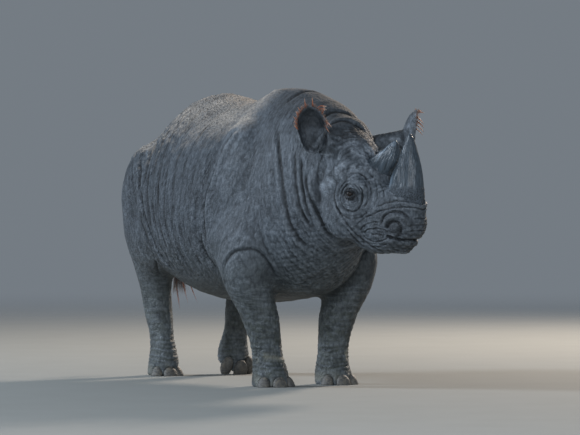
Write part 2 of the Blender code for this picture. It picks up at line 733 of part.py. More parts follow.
def tail_tuft():
    """The flat tuft of hair, as one leaf-shaped solid below the tail's end."""
    top = Vector(TAIL_PATH[-1]) - Vector((0, 0, TAIL_END_SLANT))
    rings = []
    for share, width in spline(((0.0, 0.50), (0.25, 0.85), (0.5, 1.0), (0.75, 0.75), (1.0, 0.15)), 2):
        centre = top + Vector((0.012 * share, 0.010 * share, -TUFT_LENGTH * share))
        half_width, half_depth = TUFT_HALF_WIDTH * width, TUFT_HALF_DEPTH * width
        rings.append(circle(centre, Vector((0, 1, 0)), Vector((1, 0, 0)), half_width, half_depth, 8))
    return loft(rings)


# ---- putting it together -------------------------------------------------------------------------
def main():
    clear_scene()
    animal, cutters = collection("rhinoceros"), collection("cutters")
    hide = material("hide", (0.105, 0.108, 0.112), 0.75)
    horn_finish = material("horn", (0.085, 0.085, 0.088), 0.5)
    eye_finish = material("eye", (0.015, 0.012, 0.010), 0.1)
    nail_finish = material("nail", (0.160, 0.140, 0.130), 0.6)
    hair = material("hair", (0.090, 0.045, 0.025), 0.8)

    def seated(name, make, finish):
        """The piece that make(0) gives, and the seat for it that make(GAP) gives."""
        add_object(name, make(0), animal, finish)
        return as_cutter(add_object(f"{name}_seat", make(GAP), cutters))

    flesh = whole_flesh(cutters)
    flesh_and_gap = grown(flesh, 2 * GAP, cutters)
    floor = box_cutter("floor", Matrix.Translation((0, 0, -0.5)), (3, 2, 0.5), cutters)
    ahead, ahead_wide = neck_cell(cutters, 0), neck_cell(cutters, GAP)
    head_part, head_wide = head_cell(cutters, 0), head_cell(cutters, GAP)

    legs = []
    for kind, joints, girths, span, heights in (
        ("foreleg", FORE_LEG_JOINTS, FORE_LEG_GIRTHS, FORE_LEG_SPAN, FORE_LEG_CUT),
        ("hindleg", HIND_LEG_JOINTS, HIND_LEG_GIRTHS, HIND_LEG_SPAN, HIND_LEG_CUT),
    ):
        for name, side in SIDES.items():
            title = f"{kind}_{name}"
            cell = leg_cell(f"{title}_cell", span, heights, side, 0, cutters)
            legs.append(leg_cell(f"{title}_cell_wide", span, heights, side, GAP, cutters))
            seats = []
            for which, angle, scale in NAILS:
                place = nail_place(joints[name], girths, side, angle * side)
                label = f"nail_{title}_{which}"
                seats.append(seated(label, lambda growth: nail(place, scale, growth), nail_finish))
                boolean(bpy.data.objects[label], floor, "DIFFERENCE")
            flesh_piece(title, flesh, [cell], seats, animal, hide)

    on_head = [
        seated("horn_front", lambda g: horn_shape(FRONT_HORN_BASE, FRONT_HORN, FACE_SLOPE, g), horn_finish),
        seated("horn_rear", lambda g: horn_shape(REAR_HORN_BASE, REAR_HORN, REAR_HORN_LEAN, g), horn_finish),
    ]
    ear_seats = []
    for name, side in SIDES.items():
        on_head.append(seated(f"eye_{name}", lambda growth: eye_ball(side, growth), eye_finish))
        stalk = as_cutter(add_object(f"ear_{name}_stalk", ear_stalk(name, 0), cutters))
        cup = ear(name, animal, hide)
        boolean(cup, flesh_and_gap, "DIFFERENCE")
        boolean(cup, stalk, "UNION")
        ear_seats.append(as_cutter(add_object(f"ear_{name}_seat", ear_stalk(name, GAP), cutters)))
    tail_seat = seated("tail", lambda growth: tail_shape(TAIL_SEAT_GAPS * growth), hide)
    add_object("tail_tuft", tail_tuft(), animal, hair)

    flesh_piece("head", flesh, [head_part], on_head + ear_seats, animal, hide)
    flesh_piece("neck", flesh, [ahead], [head_wide, *legs[:2], *ear_seats], animal, hide)
    flesh_piece("trunk", flesh, [], [ahead_wide, *legs, tail_seat], animal, hide)

    middle = bpy.data.objects.new("middle", None)
    middle.location.x = FORWARD_SHIFT
    for obj in [*animal.objects, *cutters.objects]:
        obj.parent = middle
    animal.objects.link(middle)


main()
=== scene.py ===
"""A young adult black rhinoceros at rest, its head turned to its own left."""

import math

import bpy
import numpy as np
from mathutils import Matrix, Vector


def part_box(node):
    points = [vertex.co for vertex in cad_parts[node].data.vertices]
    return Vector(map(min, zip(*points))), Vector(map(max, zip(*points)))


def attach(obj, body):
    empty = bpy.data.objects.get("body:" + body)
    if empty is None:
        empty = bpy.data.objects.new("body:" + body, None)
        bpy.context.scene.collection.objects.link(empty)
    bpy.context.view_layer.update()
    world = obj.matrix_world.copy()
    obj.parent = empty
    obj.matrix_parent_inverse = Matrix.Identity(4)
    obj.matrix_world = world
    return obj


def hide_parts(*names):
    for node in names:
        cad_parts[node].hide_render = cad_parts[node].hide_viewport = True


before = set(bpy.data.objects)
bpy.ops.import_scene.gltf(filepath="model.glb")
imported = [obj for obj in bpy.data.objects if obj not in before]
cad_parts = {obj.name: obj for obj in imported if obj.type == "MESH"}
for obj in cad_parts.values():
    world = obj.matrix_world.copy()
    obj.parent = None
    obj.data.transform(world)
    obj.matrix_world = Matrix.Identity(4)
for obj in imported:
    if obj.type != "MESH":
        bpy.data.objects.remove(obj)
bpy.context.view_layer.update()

# ---- The hide ---------------------------------------------------------------------------------------
# A rhinoceros wears one skin 20 mm thick, nearly bare, that hangs in plates and folds: round the neck, behind
# the shoulder, before the thigh, over the elbow. The head is wrinkled in rings round the eye and the corner
# of the mouth, and in level lines across the muzzle. It is one closed surface over the ears and the tail.
BODY_PARTS = ("trunk", "neck", "head", "foreleg_left", "foreleg_right", "hindleg_left", "hindleg_right",
              "tail")
BODY_GRAIN = 0.0100  # size of a face while the body is rounded
HIDE_GRAIN = 0.0054  # size of a face before the fine work
HIDE_TRIANGLES = 197_000
HEAD_TURN = math.radians(21)
FACE_SLOPE = math.radians(27)
SIDES = {"right": -1, "left": 1}
EYE_AT = {side: sum(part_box(f"eye_{side}"), Vector()) / 2 for side in SIDES}
EYE_RADIUS = (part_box("eye_right")[1].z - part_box("eye_right")[0].z) / 2
EYES_MIDDLE = (EYE_AT["left"] + EYE_AT["right"]) / 2
EYE_WAY = (0.26, 0.94, 0.14)  # the way that an eye looks: to the nose, outward and off the face
# The face's own axes: x along it to the nose, y to the animal's left, z out of the forehead.
FACE_TURN = Matrix.Rotation(HEAD_TURN, 3, "Z") @ Matrix.Rotation(FACE_SLOPE, 3, "Y")
FACE = Matrix.Translation(EYES_MIDDLE) @ FACE_TURN.to_4x4()
# The ears, as in the solids: each is a cup on a stalk.
EAR_LENGTH = {"right": 0.246, "left": 0.240}
EAR_WALL = 0.0095
EAR_FLATNESS = {"right": 0.62, "left": 0.52}
# (share of the length, half width of the cup, half angle of its wall in degrees)
EAR_CUP = ((0.00, 0.012, 70), (0.10, 0.036, 100), (0.26, 0.055, 112), (0.46, 0.068, 108), (0.64, 0.073, 98),
           (0.82, 0.060, 84), (0.93, 0.040, 72), (1.00, 0.014, 60))
EAR_ROOT = (-0.277, 0.176, 0.140)
EAR_STALK = ((0.040, 0.040), (0.037, 0.042), (0.035, 0.046), (0.034, 0.052))
EAR_STALK_MEETS = (0.34, 0.059)
# In the turned but level head: foot of the cup, the way that it points, and the way that it opens.
EAR_POSE = {
    "right": ((-0.118, 0.290, 0.200), (0.000, 0.020, 0.262), (0.74, 0.66, 0.05)),
    "left": ((-0.030, 0.295, 0.195), (0.057, 0.055, 0.237), (0.62, 0.78, -0.10)),
}
EAR_CURL, CURL_AT, CURL_REACH = 42, 0.30, 0.13  # degrees that the front margin curls in, and where


def alone(piece):
    """Leaves one piece selected, so that an operator works on nothing else."""
    bpy.ops.object.select_all(action="DESELECT")
    piece.select_set(True)
    bpy.context.view_layer.objects.active = piece


def rows_of(items, name):
    """A value with three parts of every item, one row each."""
    values = np.empty(len(items) * 3)
    items.foreach_get(name, values)
    return values.reshape(-1, 3)


def places(mesh):
    return rows_of(mesh.vertices, "co")


def facings(mesh):
    return rows_of(mesh.vertex_normals, "vector")


def place(mesh, points):
    mesh.vertices.foreach_set("co", np.ascontiguousarray(points, dtype=float).ravel())
    mesh.update()


def new_piece(title, mesh):
    piece = bpy.data.objects.new(title, mesh)
    bpy.context.scene.collection.objects.link(piece)
    alone(piece)
    return piece


def piece_from(title, verts, faces):
    mesh = bpy.data.meshes.new(title)
    mesh.from_pydata(verts, [], faces)
    return new_piece(title, mesh)


def copy_of(name, title):
    """A copy of one solid with its loose triangles joined up."""
    piece = new_piece(title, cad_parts[name].data.copy())
    bpy.ops.object.mode_set(mode="EDIT")
    bpy.ops.mesh.select_all(action="SELECT")
    bpy.ops.mesh.remove_doubles(threshold=0.00002)
    bpy.ops.object.mode_set(mode="OBJECT")
    return piece


def face_places(points):
    """Places in the face's own axes."""
    return (points - np.array(EYES_MIDDLE)) @ np.array(FACE_TURN)


def joined(pieces, title):
    bpy.ops.object.select_all(action="DESELECT")
    for piece in pieces:
        piece.select_set(True)
    bpy.context.view_layer.objects.active = pieces[0]
    bpy.ops.object.join()
    pieces[0].name = title
    return pieces[0]


def evened(piece, grain):
    """Covers the piece with even faces, and keeps its outer surface only."""
    alone(piece)
    even = piece.modifiers.new("even", "REMESH")
    even.mode = "VOXEL"
    even.voxel_size = grain
    bpy.ops.object.modifier_apply(modifier="even")
    bpy.ops.object.mode_set(mode="EDIT")
    bpy.ops.mesh.select_all(action="SELECT")
    bpy.ops.mesh.separate(type="LOOSE")
    bpy.ops.object.mode_set(mode="OBJECT")
    shells = sorted(bpy.context.selected_objects, key=lambda shell: len(shell.data.vertices))
    for shell in shells[:-1]:
        bpy.data.objects.remove(shell)
    return shells[-1]


def links_of(mesh):
    """Each vertex's neighbours, as one long list with the place where each vertex's share starts."""
    edges = np.empty(len(mesh.edges) * 2, np.int32)
    mesh.edges.foreach_get("vertices", edges)
    edges = edges.reshape(-1, 2)
    both = np.concatenate([edges, edges[:, ::-1]])
    both = both[np.argsort(both[:, 0], kind="stable")]
    counts = np.bincount(both[:, 0], minlength=len(mesh.vertices))
    starts = np.concatenate([[0], np.cumsum(counts)[:-1]])
    return both[:, 1], starts, counts[:, None]


def evened_out(values, links, times, share):
    ends, starts, counts = links
    for _ in range(times):
        values = values + share * (np.add.reduceat(values[ends], starts) / counts - values)
    return values


def rounded_off(piece, times, share):
    """Rounds the piece, and gives back what the rounding took from its form."""
    points, links = places(piece.data), links_of(piece.data)
    rounded = evened_out(points, links, times, share)
    place(piece.data, rounded - evened_out(rounded - points, links, times, share))


def rise(values, low, high):
    part = np.clip((values - low) / (high - low), 0, 1)
    return part * part * (3 - 2 * part)


def between(values, low, full, fading, gone):
    """1 from full to fading, and 0 below low and above gone."""
    return rise(values, low, full) * (1 - rise(values, fading, gone))


def cloud(points, size, seed):
    """Smooth random values from -1 to 1 that change over about the given size."""
    table = np.random.default_rng(seed).uniform(-1, 1, 4096)
    cells = points / size
    low = np.floor(cells).astype(np.int64)
    part = cells - low
    part = part * part * (3 - 2 * part)
    total = np.zeros(len(points))
    for corner in range(8):
        step = np.array([corner & 1, corner >> 1 & 1, corner >> 2])
        keys = (low + step) * np.array([73856093, 19349663, 83492791])
        weights = np.where(step, part, 1 - part).prod(axis=1)
        total += table[(keys[:, 0] ^ keys[:, 1] ^ keys[:, 2]) & 4095] * weights
    return total


def grooves(values, spacing):
    """Narrow grooves with round backs between them, 0 in a groove and 1 on a back."""
    return np.abs(np.sin(np.pi * values / spacing)) ** 0.7


def smooth_path(corners, step):
    """A smooth run of points through the given corners."""
    corners = [np.array(corner, float) for corner in corners]
    ends = [2 * corners[0] - corners[1], *corners, 2 * corners[-1] - corners[-2]]
    run = []
    for a, b, c, d in zip(ends, ends[1:], ends[2:], ends[3:]):
        count = max(2, int(np.linalg.norm(c - b) / step))
        for k in range(count):
            t = k / count
            run.append(0.5 * (2 * b + (c - a) * t + (2 * a - 5 * b + 4 * c - d) * t * t
                              + (3 * b - a - 3 * c + d) * t ** 3))
    run.append(corners[-1])
    return np.array(run)


def ear_axes(side):
    """An ear's foot, the way that it points, the way that it opens, and its sideways."""
    level = Matrix.Rotation(HEAD_TURN, 3, "Z")
    foot, points, opens = (level @ Vector((f, SIDES[side] * o, u)) for f, o, u in EAR_POSE[side])
    points = points.normalized()
    opens = (opens - points * opens.dot(points)).normalized()
    return EYES_MIDDLE + foot, points, opens, points.cross(opens)


def cup_at(share):
    """Half width of the cup and half angle of its wall, at a share of the ear's length."""
    shares, widths, angles = zip(*EAR_CUP)
    return np.interp(share, shares, widths), np.interp(share, shares, angles)


def ear_cup(side):
    """The sheet of the cup, its lower front margin curled in, given its wall by a modifier."""
    foot, points, opens, across = ear_axes(side)
    # the angles are a thousand times too small in the path, so that they don't count in its steps
    rows = smooth_path([(share, wide, angle / 1000) for share, wide, angle in EAR_CUP], 0.03)
    around = 30
    verts, faces = [], []
    for share, half_width, angle in rows:
        centre = foot + points * (share * EAR_LENGTH[side])
        curl = EAR_CURL * math.exp(-((share - CURL_AT) / CURL_REACH) ** 2)
        for k in range(around + 1):
            part = (2 * k / around - 1) * SIDES[side]
            turn = math.radians(angle * 1000 + (curl if part < 0 else 0)) * part
            tight = 1 - 0.16 * (curl / EAR_CURL) * max(0, -part) ** 3
            inwards = -math.cos(turn) * EAR_FLATNESS[side] * half_width * tight
            sideways = math.sin(turn) * half_width * tight * SIDES[side]
            verts.append(centre + opens * inwards + across * sideways)
    for r in range(len(rows) - 1):
        for k in range(around):
            a = r * (around + 1) + k
            faces.append((a, a + 1, a + around + 2, a + around + 1))
    cup = piece_from(f"cup_{side}", verts, faces)
    wall = cup.modifiers.new("wall", "SOLIDIFY")
    wall.thickness = EAR_WALL
    wall.offset = 0
    bpy.ops.object.modifier_apply(modifier="wall")
    return cup


def ear_stalk(side):
    """The stalk that carries the cup: rings that turn from the skull's side towards the cup's back."""
    foot, points, opens, _ = ear_axes(side)
    root = FACE @ Vector((EAR_ROOT[0], SIDES[side] * EAR_ROOT[1], EAR_ROOT[2]))
    share, half_width = EAR_STALK_MEETS
    top = foot + points * (share * EAR_LENGTH[side]) - opens * (EAR_FLATNESS[side] * half_width - 0.004)
    along = (top - root).normalized()
    verts, sides = [], 28
    for i, (wide, high) in enumerate(EAR_STALK):
        part_way = i / (len(EAR_STALK) - 1)
        facing = (along * (1 - part_way) + opens * part_way).normalized()
        across = facing.cross(Vector((0, 0, 1))).normalized()
        upward = facing.cross(across)
        for k in range(sides):
            turn = 2 * math.pi * k / sides
            spot = root + (top - root) * part_way
            verts.append(spot + across * (wide * math.cos(turn)) + upward * (high * math.sin(turn)))
    faces = [tuple(range(sides))[::-1], tuple(range(len(verts) - sides, len(verts)))]
    for r in range(len(EAR_STALK) - 1):
        for k in range(sides):
            a, b = r * sides + k, r * sides + (k + 1) % sides
            faces.append((a, b, b + sides, a + sides))
    return piece_from(f"stalk_{side}", verts, faces)


pieces = [copy_of(name, f"copy_{name}") for name in BODY_PARTS]
for name, level in (("horn_front", 0.120), ("horn_rear", 0.142)):
    # The skin runs on under a horn: a low plug of it fills the horn's seat.
    plug = copy_of(name, f"plug_{name}")
    spots = face_places(places(plug.data))
    middle = spots[:, :2].mean(axis=0)
    spots[:, :2] = middle + (spots[:, :2] - middle) * 0.95
    spots[:, 2] = np.minimum(spots[:, 2], level)
    place(plug.data, spots @ np.array(FACE_TURN).T + np.array(EYES_MIDDLE))
    pieces.append(plug)
for side in SIDES:
    pieces.append(copy_of(f"eye_{side}", f"plug_eye_{side}"))
    pieces.append(ear_stalk(side))
body = evened(joined(pieces, "body"), BODY_GRAIN)
points = places(body.data)
near_head = rise(face_places(points)[:, 0], -0.36, -0.20)
low_leg = 1 - rise(points[:, 2], 0.15, 0.60)
# the head and the feet are rounded less than the body
rounded_off(body, 30, (0.60 * (1 - 0.78 * near_head) * (1 - 0.45 * low_leg))[:, None])
ears = [ear_cup("right"), ear_cup("left"), ear_stalk("right"), ear_stalk("left")]
hide = evened(joined([body, *ears], "hide"), HIDE_GRAIN)
hide.name = hide.data.name = "hide"
rounded_off(hide, 7, 0.5)
hide.data.attributes.new("crease", "FLOAT", "POINT")


def creased(piece, amount):
    """Notes where the skin is creased, from 0 to 1, for the painted shade in its creases."""
    layer = piece.data.attributes["crease"]
    values = np.empty(len(amount), np.float32)
    layer.data.foreach_get("value", values)
    layer.data.foreach_set("value", np.maximum(values, np.clip(amount, 0, 1)).astype(np.float32))


def nearest_on(line, spots):
    """How far each spot is from a line of points, and which of them is nearest."""
    gaps = (spots ** 2).sum(axis=1)[:, None] + (line ** 2).sum(axis=1) - 2 * spots @ line.T
    closest = gaps.argmin(axis=1)
    return np.sqrt(np.maximum(gaps[np.arange(len(spots)), closest], 0)), closest


def press_folds(piece, folds, face=False):
    """Presses folds along paths on the skin, with the skin swelling on one side of each.

    A fold is its path on the right side, half width, depth, swelling, the side that swells as seen along the
    path (1 or -1), the share of its length that fades at each end, and whether it is mirrored to the left.
    """
    points, normals = places(piece.data), facings(piece.data)
    crease = np.zeros(len(points))
    for corners, width, depth, swell, lip, fade, mirrored in folds:
        for side in ("right", "left") if mirrored else ("right",):
            path = smooth_path(corners, 0.7 * width)
            if side == "left":
                path[:, 1] *= -1
            if face:
                path = path @ np.array(FACE_TURN).T + np.array(EYES_MIDDLE)
            found = [piece.closest_point_on_mesh(Vector(spot)) for spot in path]
            path = np.array([spot for _, spot, _, _ in found])
            outward = np.array([normal for _, _, normal, _ in found])
            along = np.gradient(path, axis=0)
            along /= np.linalg.norm(along, axis=1)[:, None] + 1e-9
            across = np.cross(outward, along) * (lip if side == "right" else -lip)
            margin = 4 * width
            low, high = path.min(0) - margin, path.max(0) + margin
            near = np.where(((points > low) & (points < high)).all(axis=1))[0]
            middle = path.mean(axis=0)
            spots, line = points[near] - middle, path - middle
            gap, closest = nearest_on(line, spots)
            offset = ((spots - line[closest]) * across[closest]).sum(axis=1)
            share = closest / (len(path) - 1)
            strength = between(share, 0, fade, 1 - fade, 1) * (gap < margin)
            strength *= rise((normals[near] * outward[closest]).sum(axis=1), 0.0, 0.5)
            pressed = np.exp(-(gap / width) ** 2) * strength
            move = swell * np.exp(-((offset - 1.9 * width) / (1.5 * width)) ** 2) * strength - depth * pressed
            points[near] += normals[near] * move[:, None]
            crease[near] = np.maximum(crease[near], pressed ** 2 * min(1.0, depth / 0.008))
    place(piece.data, points)
    creased(piece, crease)


# The ribs' ridges: x of each line at mid height, and how much it leans forward going down.
RIB_X = (-0.95, -0.75, -0.42, -0.18, 0.02, 0.22, 0.50)
RIB_LEAN = (0.55, 0.60, 0.45, 0.21, 0.08, -0.25, -0.55)


def rib_lines(points):
    """Where along the body the ridge through each place crosses mid height."""
    start = points[:, 0] + 0.020 * cloud(points, 0.20, 1) + 0.008 * cloud(points, 0.06, 2)
    line = start.copy()
    for _ in range(6):
        line = start + np.interp(line, RIB_X, RIB_LEAN) * (np.clip(points[:, 2], 0.5, 1.5) - 0.95)
    return line


points, normals = places(hide.data), facings(hide.data)
x, y, z = points.T
line = rib_lines(points)
sideways = rise(np.abs(normals[:, 1]), 0.10, 0.50)
flank = sideways * rise(z, 0.48, 0.66) * rise(line, -0.98, -0.80) * (1 - rise(line, 0.10, 0.30))
crown = rise(z, 1.02, 1.22) * rise(line, -1.15, -0.95) * (1 - rise(line, 0.30, 0.50))
rear = 1 - 0.55 * rise(line, -0.50, 0.05)
rib_cover = np.maximum(flank, 0.85 * crown) * (1 - rise(x, 0.36, 0.50)) * rear
broken = 0.62 + 0.38 * cloud(points * np.array([1, 1, 0.45]), 0.075, 3)
rows = 0.0085 * (grooves(line, 0.096) - 0.66) * (0.7 + 0.3 * cloud(points, 0.22, 4))
rows += 0.0062 * (grooves(line + 0.010 * cloud(points, 0.06, 5), 0.041) - 0.66) * broken
rows += 0.0026 * (grooves(line + 0.008 * cloud(points, 0.04, 6), 0.019) - 0.66)
# the lumps between the ridges, drawn out down the flank
lumps = cloud(points * np.array([1, 1, 0.55]), 0.022, 7) + 0.6 * cloud(points, 0.013, 8)
move = rib_cover * (1.6 * rows * broken + 0.0034 * lumps)
creased(hide, rib_cover * (1 - grooves(line, 0.096)) * 1.6 * broken)
# Upright wrinkles on the neck.
neck = between(x, 0.44, 0.60, 0.86, 0.94) * rise(np.abs(normals[:, 1]), 0.15, 0.5)
neck_line = x + 0.16 * (z - 1.0) + 0.010 * cloud(points, 0.10, 9)
neck_rows = 0.0042 * (grooves(neck_line, 0.043) - 0.6) * (0.6 + 0.4 * cloud(points, 0.1, 10))
neck_rows += 0.0020 * (grooves(neck_line + 0.006 * cloud(points, 0.04, 11), 0.019) - 0.6)
move += neck * neck_rows
# Below the throat the skin is cut into lozenges by two sets of lines.
throat = rise(x, 0.52, 0.64) * (1 - rise(z, 0.78, 0.98)) * rise(z, 0.46, 0.56)
for lean, seed in ((0.9, 12), (-0.9, 13)):
    slant = z + lean * np.abs(y) + 0.4 * x + 0.008 * cloud(points, 0.06, seed)
    move += throat * 0.0026 * (grooves(slant, 0.036) - 0.6)
# A faint pebbling on the shoulder, and slow swells all over.
move += between(x, 0.10, 0.25, 0.60, 0.75) * rise(z, 0.55, 0.75) * 0.0014 * cloud(points, 0.018, 14)
move += 0.0012 * cloud(points, 0.030, 15) + 0.0038 * cloud(points, 0.16, 16) * rise(z, 0.45, 0.7)
# Level wrinkles on the legs, deepest above the hooves.
leg = between(z, 0.05, 0.09, 0.44, 0.60)
leg_line = z + 0.014 * cloud(points, 0.11, 17)
move += leg * 0.0026 * (grooves(leg_line, 0.031) - 0.6) * (0.55 + 0.45 * cloud(points, 0.09, 18))
move += between(z, 0.05, 0.08, 0.18, 0.26) * 0.0030 * (grooves(leg_line, 0.019) - 0.6)
move += leg * 0.0012 * cloud(points, 0.016, 19)
points += normals * move[:, None]
place(hide.data, points)

# Folds of the body on its right, mirrored to the left: path, half width, depth, swelling, side that swells.
FADE = 0.2  # share of a fold's length over which it fades at each end
BODY_FOLDS = (
    # behind the shoulder, and two lesser ones behind it
    (((0.33, -0.30, 1.37), (0.22, -0.40, 1.17), (0.14, -0.42, 1.01), (0.14, -0.44, 0.81), (0.18, -0.42, 0.68),
      (0.26, -0.41, 0.62)), 0.017, 0.017, 0.010, 1),
    (((0.11, -0.43, 0.82), (0.09, -0.41, 0.71), (0.16, -0.35, 0.58)), 0.011, 0.007, 0.003, 1),
    (((0.00, -0.46, 0.80), (0.01, -0.44, 0.70), (0.04, -0.40, 0.60)), 0.010, 0.005, 0.002, 1),
    # over the elbow and down before the foreleg
    (((0.34, -0.43, 0.56), (0.38, -0.43, 0.63), (0.44, -0.41, 0.69), (0.50, -0.37, 0.71), (0.54, -0.31, 0.70),
      (0.55, -0.24, 0.61), (0.52, -0.21, 0.54)), 0.010, 0.006, 0.005, 1),
    # before the thigh
    (((-0.93, -0.35, 1.19), (-0.75, -0.42, 0.99), (-0.60, -0.45, 0.87), (-0.46, -0.43, 0.67),
      (-0.33, -0.37, 0.56)), 0.014, 0.013, 0.006, -1),
    (((-0.64, -0.41, 1.12), (-0.55, -0.46, 0.93), (-0.42, -0.47, 0.76)), 0.010, 0.006, 0.002, 1),
    (((-0.54, -0.44, 0.72), (-0.64, -0.39, 0.66), (-0.83, -0.27, 0.53)), 0.010, 0.006, 0.003, 1),
    # the neck's three
    (((0.55, -0.21, 1.37), (0.61, -0.23, 1.27), (0.68, -0.25, 1.12), (0.72, -0.24, 0.93), (0.74, -0.20, 0.81),
      (0.77, -0.15, 0.74), (0.79, -0.06, 0.70)), 0.014, 0.010, 0.006, -1),
    (((0.74, -0.19, 1.26), (0.78, -0.21, 1.05), (0.80, -0.19, 0.92), (0.84, -0.12, 0.79)),
     0.011, 0.008, 0.004, -1),
    (((0.79, -0.18, 1.22), (0.81, -0.19, 1.05), (0.85, -0.13, 0.83)), 0.010, 0.007, 0.003, -1),
    # from the brisket to the foreleg
    (((0.57, -0.23, 0.66), (0.61, -0.18, 0.60), (0.60, -0.10, 0.53)), 0.014, 0.002, 0.003, 1),
    (((0.58, -0.10, 0.52), (0.66, -0.08, 0.56), (0.76, 0.01, 0.64)), 0.014, 0.003, 0.003, 1),
    # inside the elbow and along the back of the foreleg
    (((0.36, -0.42, 0.56), (0.30, -0.40, 0.50), (0.27, -0.35, 0.42)), 0.010, 0.006, 0.002, 1),
    # the haunch
    (((-1.10, -0.30, 1.12), (-1.08, -0.33, 1.00), (-1.12, -0.31, 0.78)), 0.012, 0.004, 0.001, 1),
)
# Folds that cross the middle and have no mirror image, with their own fading.
MIDDLE_FOLDS = (
    # across the crest, between the hump and the neck
    (((0.49, -0.16, 1.44), (0.50, -0.09, 1.50), (0.49, 0.00, 1.52), (0.50, 0.09, 1.50), (0.49, 0.16, 1.44)),
     0.013, 0.009, 0.004, 1, 0.2, False),
    # under the roll of skin behind the ears, and behind it
    (((0.90, -0.11, 1.30), (0.92, -0.04, 1.37), (0.92, 0.02, 1.37), (0.90, 0.12, 1.31)),
     0.011, 0.012, 0.0, 1, 0.15, False),
    (((0.79, -0.13, 1.33), (0.79, -0.07, 1.38), (0.78, 0.00, 1.41), (0.79, 0.07, 1.40), (0.82, 0.14, 1.37)),
     0.013, 0.010, 0.0, 1, 0.15, False),
)
press_folds(hide, [(*fold, FADE, True) for fold in BODY_FOLDS] + list(MIDDLE_FOLDS))


def divided(piece, chosen):
    """Cuts each of the chosen faces into four."""
    alone(piece)
    bpy.ops.object.mode_set(mode="EDIT")
    bpy.ops.mesh.select_mode(type="FACE")
    bpy.ops.mesh.select_all(action="DESELECT")
    bpy.ops.object.mode_set(mode="OBJECT")
    piece.data.polygons.foreach_set("select", chosen)
    bpy.ops.object.mode_set(mode="EDIT")
    bpy.ops.mesh.subdivide(number_cuts=1)
    bpy.ops.object.mode_set(mode="OBJECT")


def eye_gap(points):
    """How far each place is from the middle of the nearer eye."""
    return np.min([np.linalg.norm(points - np.array(EYE_AT[side]), axis=1) for side in SIDES], axis=0)


def face_middles(piece):
    return rows_of(piece.data.polygons, "center")


middles = face_middles(hide)
along, _, up = face_places(middles).T
muzzle = (along > 0.13) & (along < 0.45) & (up < 0.16) & (up > -0.30)
divided(hide, muzzle | (eye_gap(middles) < 0.095))
divided(hide, eye_gap(face_middles(hide)) < 0.042)

# Lids: a slit of 43 by 24 mm over each eye, a thick roll round it, and rings of wrinkles round that.
SLIT_HALF, SLIT_UP, SLIT_DOWN = 0.0215, 0.0120, 0.0118
LID_ROLL = 0.0060
RING_WIDE = 0.0034  # half width of a ring's groove
EYE_RINGS = ((0.0400, 0.0024), (0.0470, 0.0020), (0.0550, 0.0024), (0.0640, 0.0020))  # radius, depth


def eye_axes(side, tilt=0.0):
    """The way that an eye looks, its level line, and that line square to the look."""
    looks = (FACE_TURN @ Vector((EYE_WAY[0], EYE_WAY[1] * SIDES[side], EYE_WAY[2]))).normalized()
    level = FACE_TURN @ Vector((math.cos(FACE_SLOPE + tilt), 0, math.sin(FACE_SLOPE + tilt)))
    return looks, level, (level - looks * level.dot(looks)).normalized()


points = places(hide.data)
for side in SIDES:
    looks, _, level = eye_axes(side, 0.06)
    upward = looks.cross(level) * (1 if looks.cross(level).z > 0 else -1)
    away = points - np.array(EYE_AT[side])
    reach = np.linalg.norm(away, axis=1)
    near = np.where(reach < 0.10)[0]
    away, reach = away[near], reach[near]
    heading = away / reach[:, None]
    front = heading @ np.array(looks)
    a, b = heading @ np.array(level) * EYE_RADIUS, heading @ np.array(upward) * EYE_RADIUS
    height = np.where(b > 0, SLIT_UP, SLIT_DOWN) * (1 - 0.25 * np.clip(a / SLIT_HALF, -1, 1) ** 2)
    ring = np.sqrt((a / SLIT_HALF) ** 2 + (b / height) ** 2)
    roll = np.where(b > 0, LID_ROLL * 1.4, LID_ROLL)
    shell = EYE_RADIUS - 0.007 + 0.0085 * rise(ring, 0.82, 1.0) + roll * rise(ring, 0.98, 1.20)
    shell -= 0.0036 * np.exp(-((ring - 1.58) / 0.12) ** 2) * (1 + 0.5 * (b > 0))
    out_a, out_b = away @ np.array(level), away @ np.array(upward)
    blend = rise(np.sqrt((out_a / 1.08) ** 2 + out_b ** 2), 0.024, 0.038)
    target = np.where(front > 0.1, shell * (1 - blend) + reach * blend, reach)
    keep = rise(front, 0.05, 0.35)
    points[near] = np.array(EYE_AT[side]) + heading * (reach * (1 - keep) + target * keep)[:, None]
place(hide.data, points)
points, normals = places(hide.data), facings(hide.data)
crease, move = np.zeros(len(points)), np.zeros(len(points))
for side in SIDES:
    looks, level, _ = eye_axes(side)
    away = points - np.array(EYE_AT[side])
    out_a, out_b = away @ np.array(level), away[:, 2]
    cover = rise(normals @ np.array(looks), 0.2, 0.5) * (np.linalg.norm(away, axis=1) < 0.12)
    wobble = np.sqrt((out_a / 1.06) ** 2 + (out_b + 0.003) ** 2)
    wobble = wobble + 0.0042 * cloud(points, 0.026, 31) + 0.0014 * cloud(points, 0.011, 30)
    turn = np.arctan2(out_b, out_a)
    for radius, depth in EYE_RINGS:
        part = 0.62 + 0.38 * np.cos(turn * 2 + radius * 300)
        pressed = np.exp(-((wobble - radius) / RING_WIDE) ** 2) * part * cover
        swelling = 0.0024 * np.exp(-((wobble - radius + 0.0045) / RING_WIDE) ** 2)
        move += swelling * cover - depth * pressed
        crease = np.maximum(crease, pressed * min(1.0, depth / 0.0060))
    # the brow above, and the pouch below
    move += 0.006 * np.exp(-((out_b - 0.062) / 0.020) ** 2 - (out_a / 0.055) ** 2) * cover
    move += 0.004 * np.exp(-((out_b + 0.048) / 0.016) ** 2 - (out_a / 0.045) ** 2) * cover
points += normals * move[:, None]
place(hide.data, points)
creased(hide, crease)

# The head's wrinkles are drawn on a plane that stands 46 degrees aside of the nose, so that it faces both the
# cheek and the front: across it towards the nose, and up, in millimetres from the middle between the eyes.
ASIDE = math.radians(46)
LEVEL_TURN = np.array(Matrix.Rotation(HEAD_TURN, 3, "Z"))  # the head's turn alone, without its slope


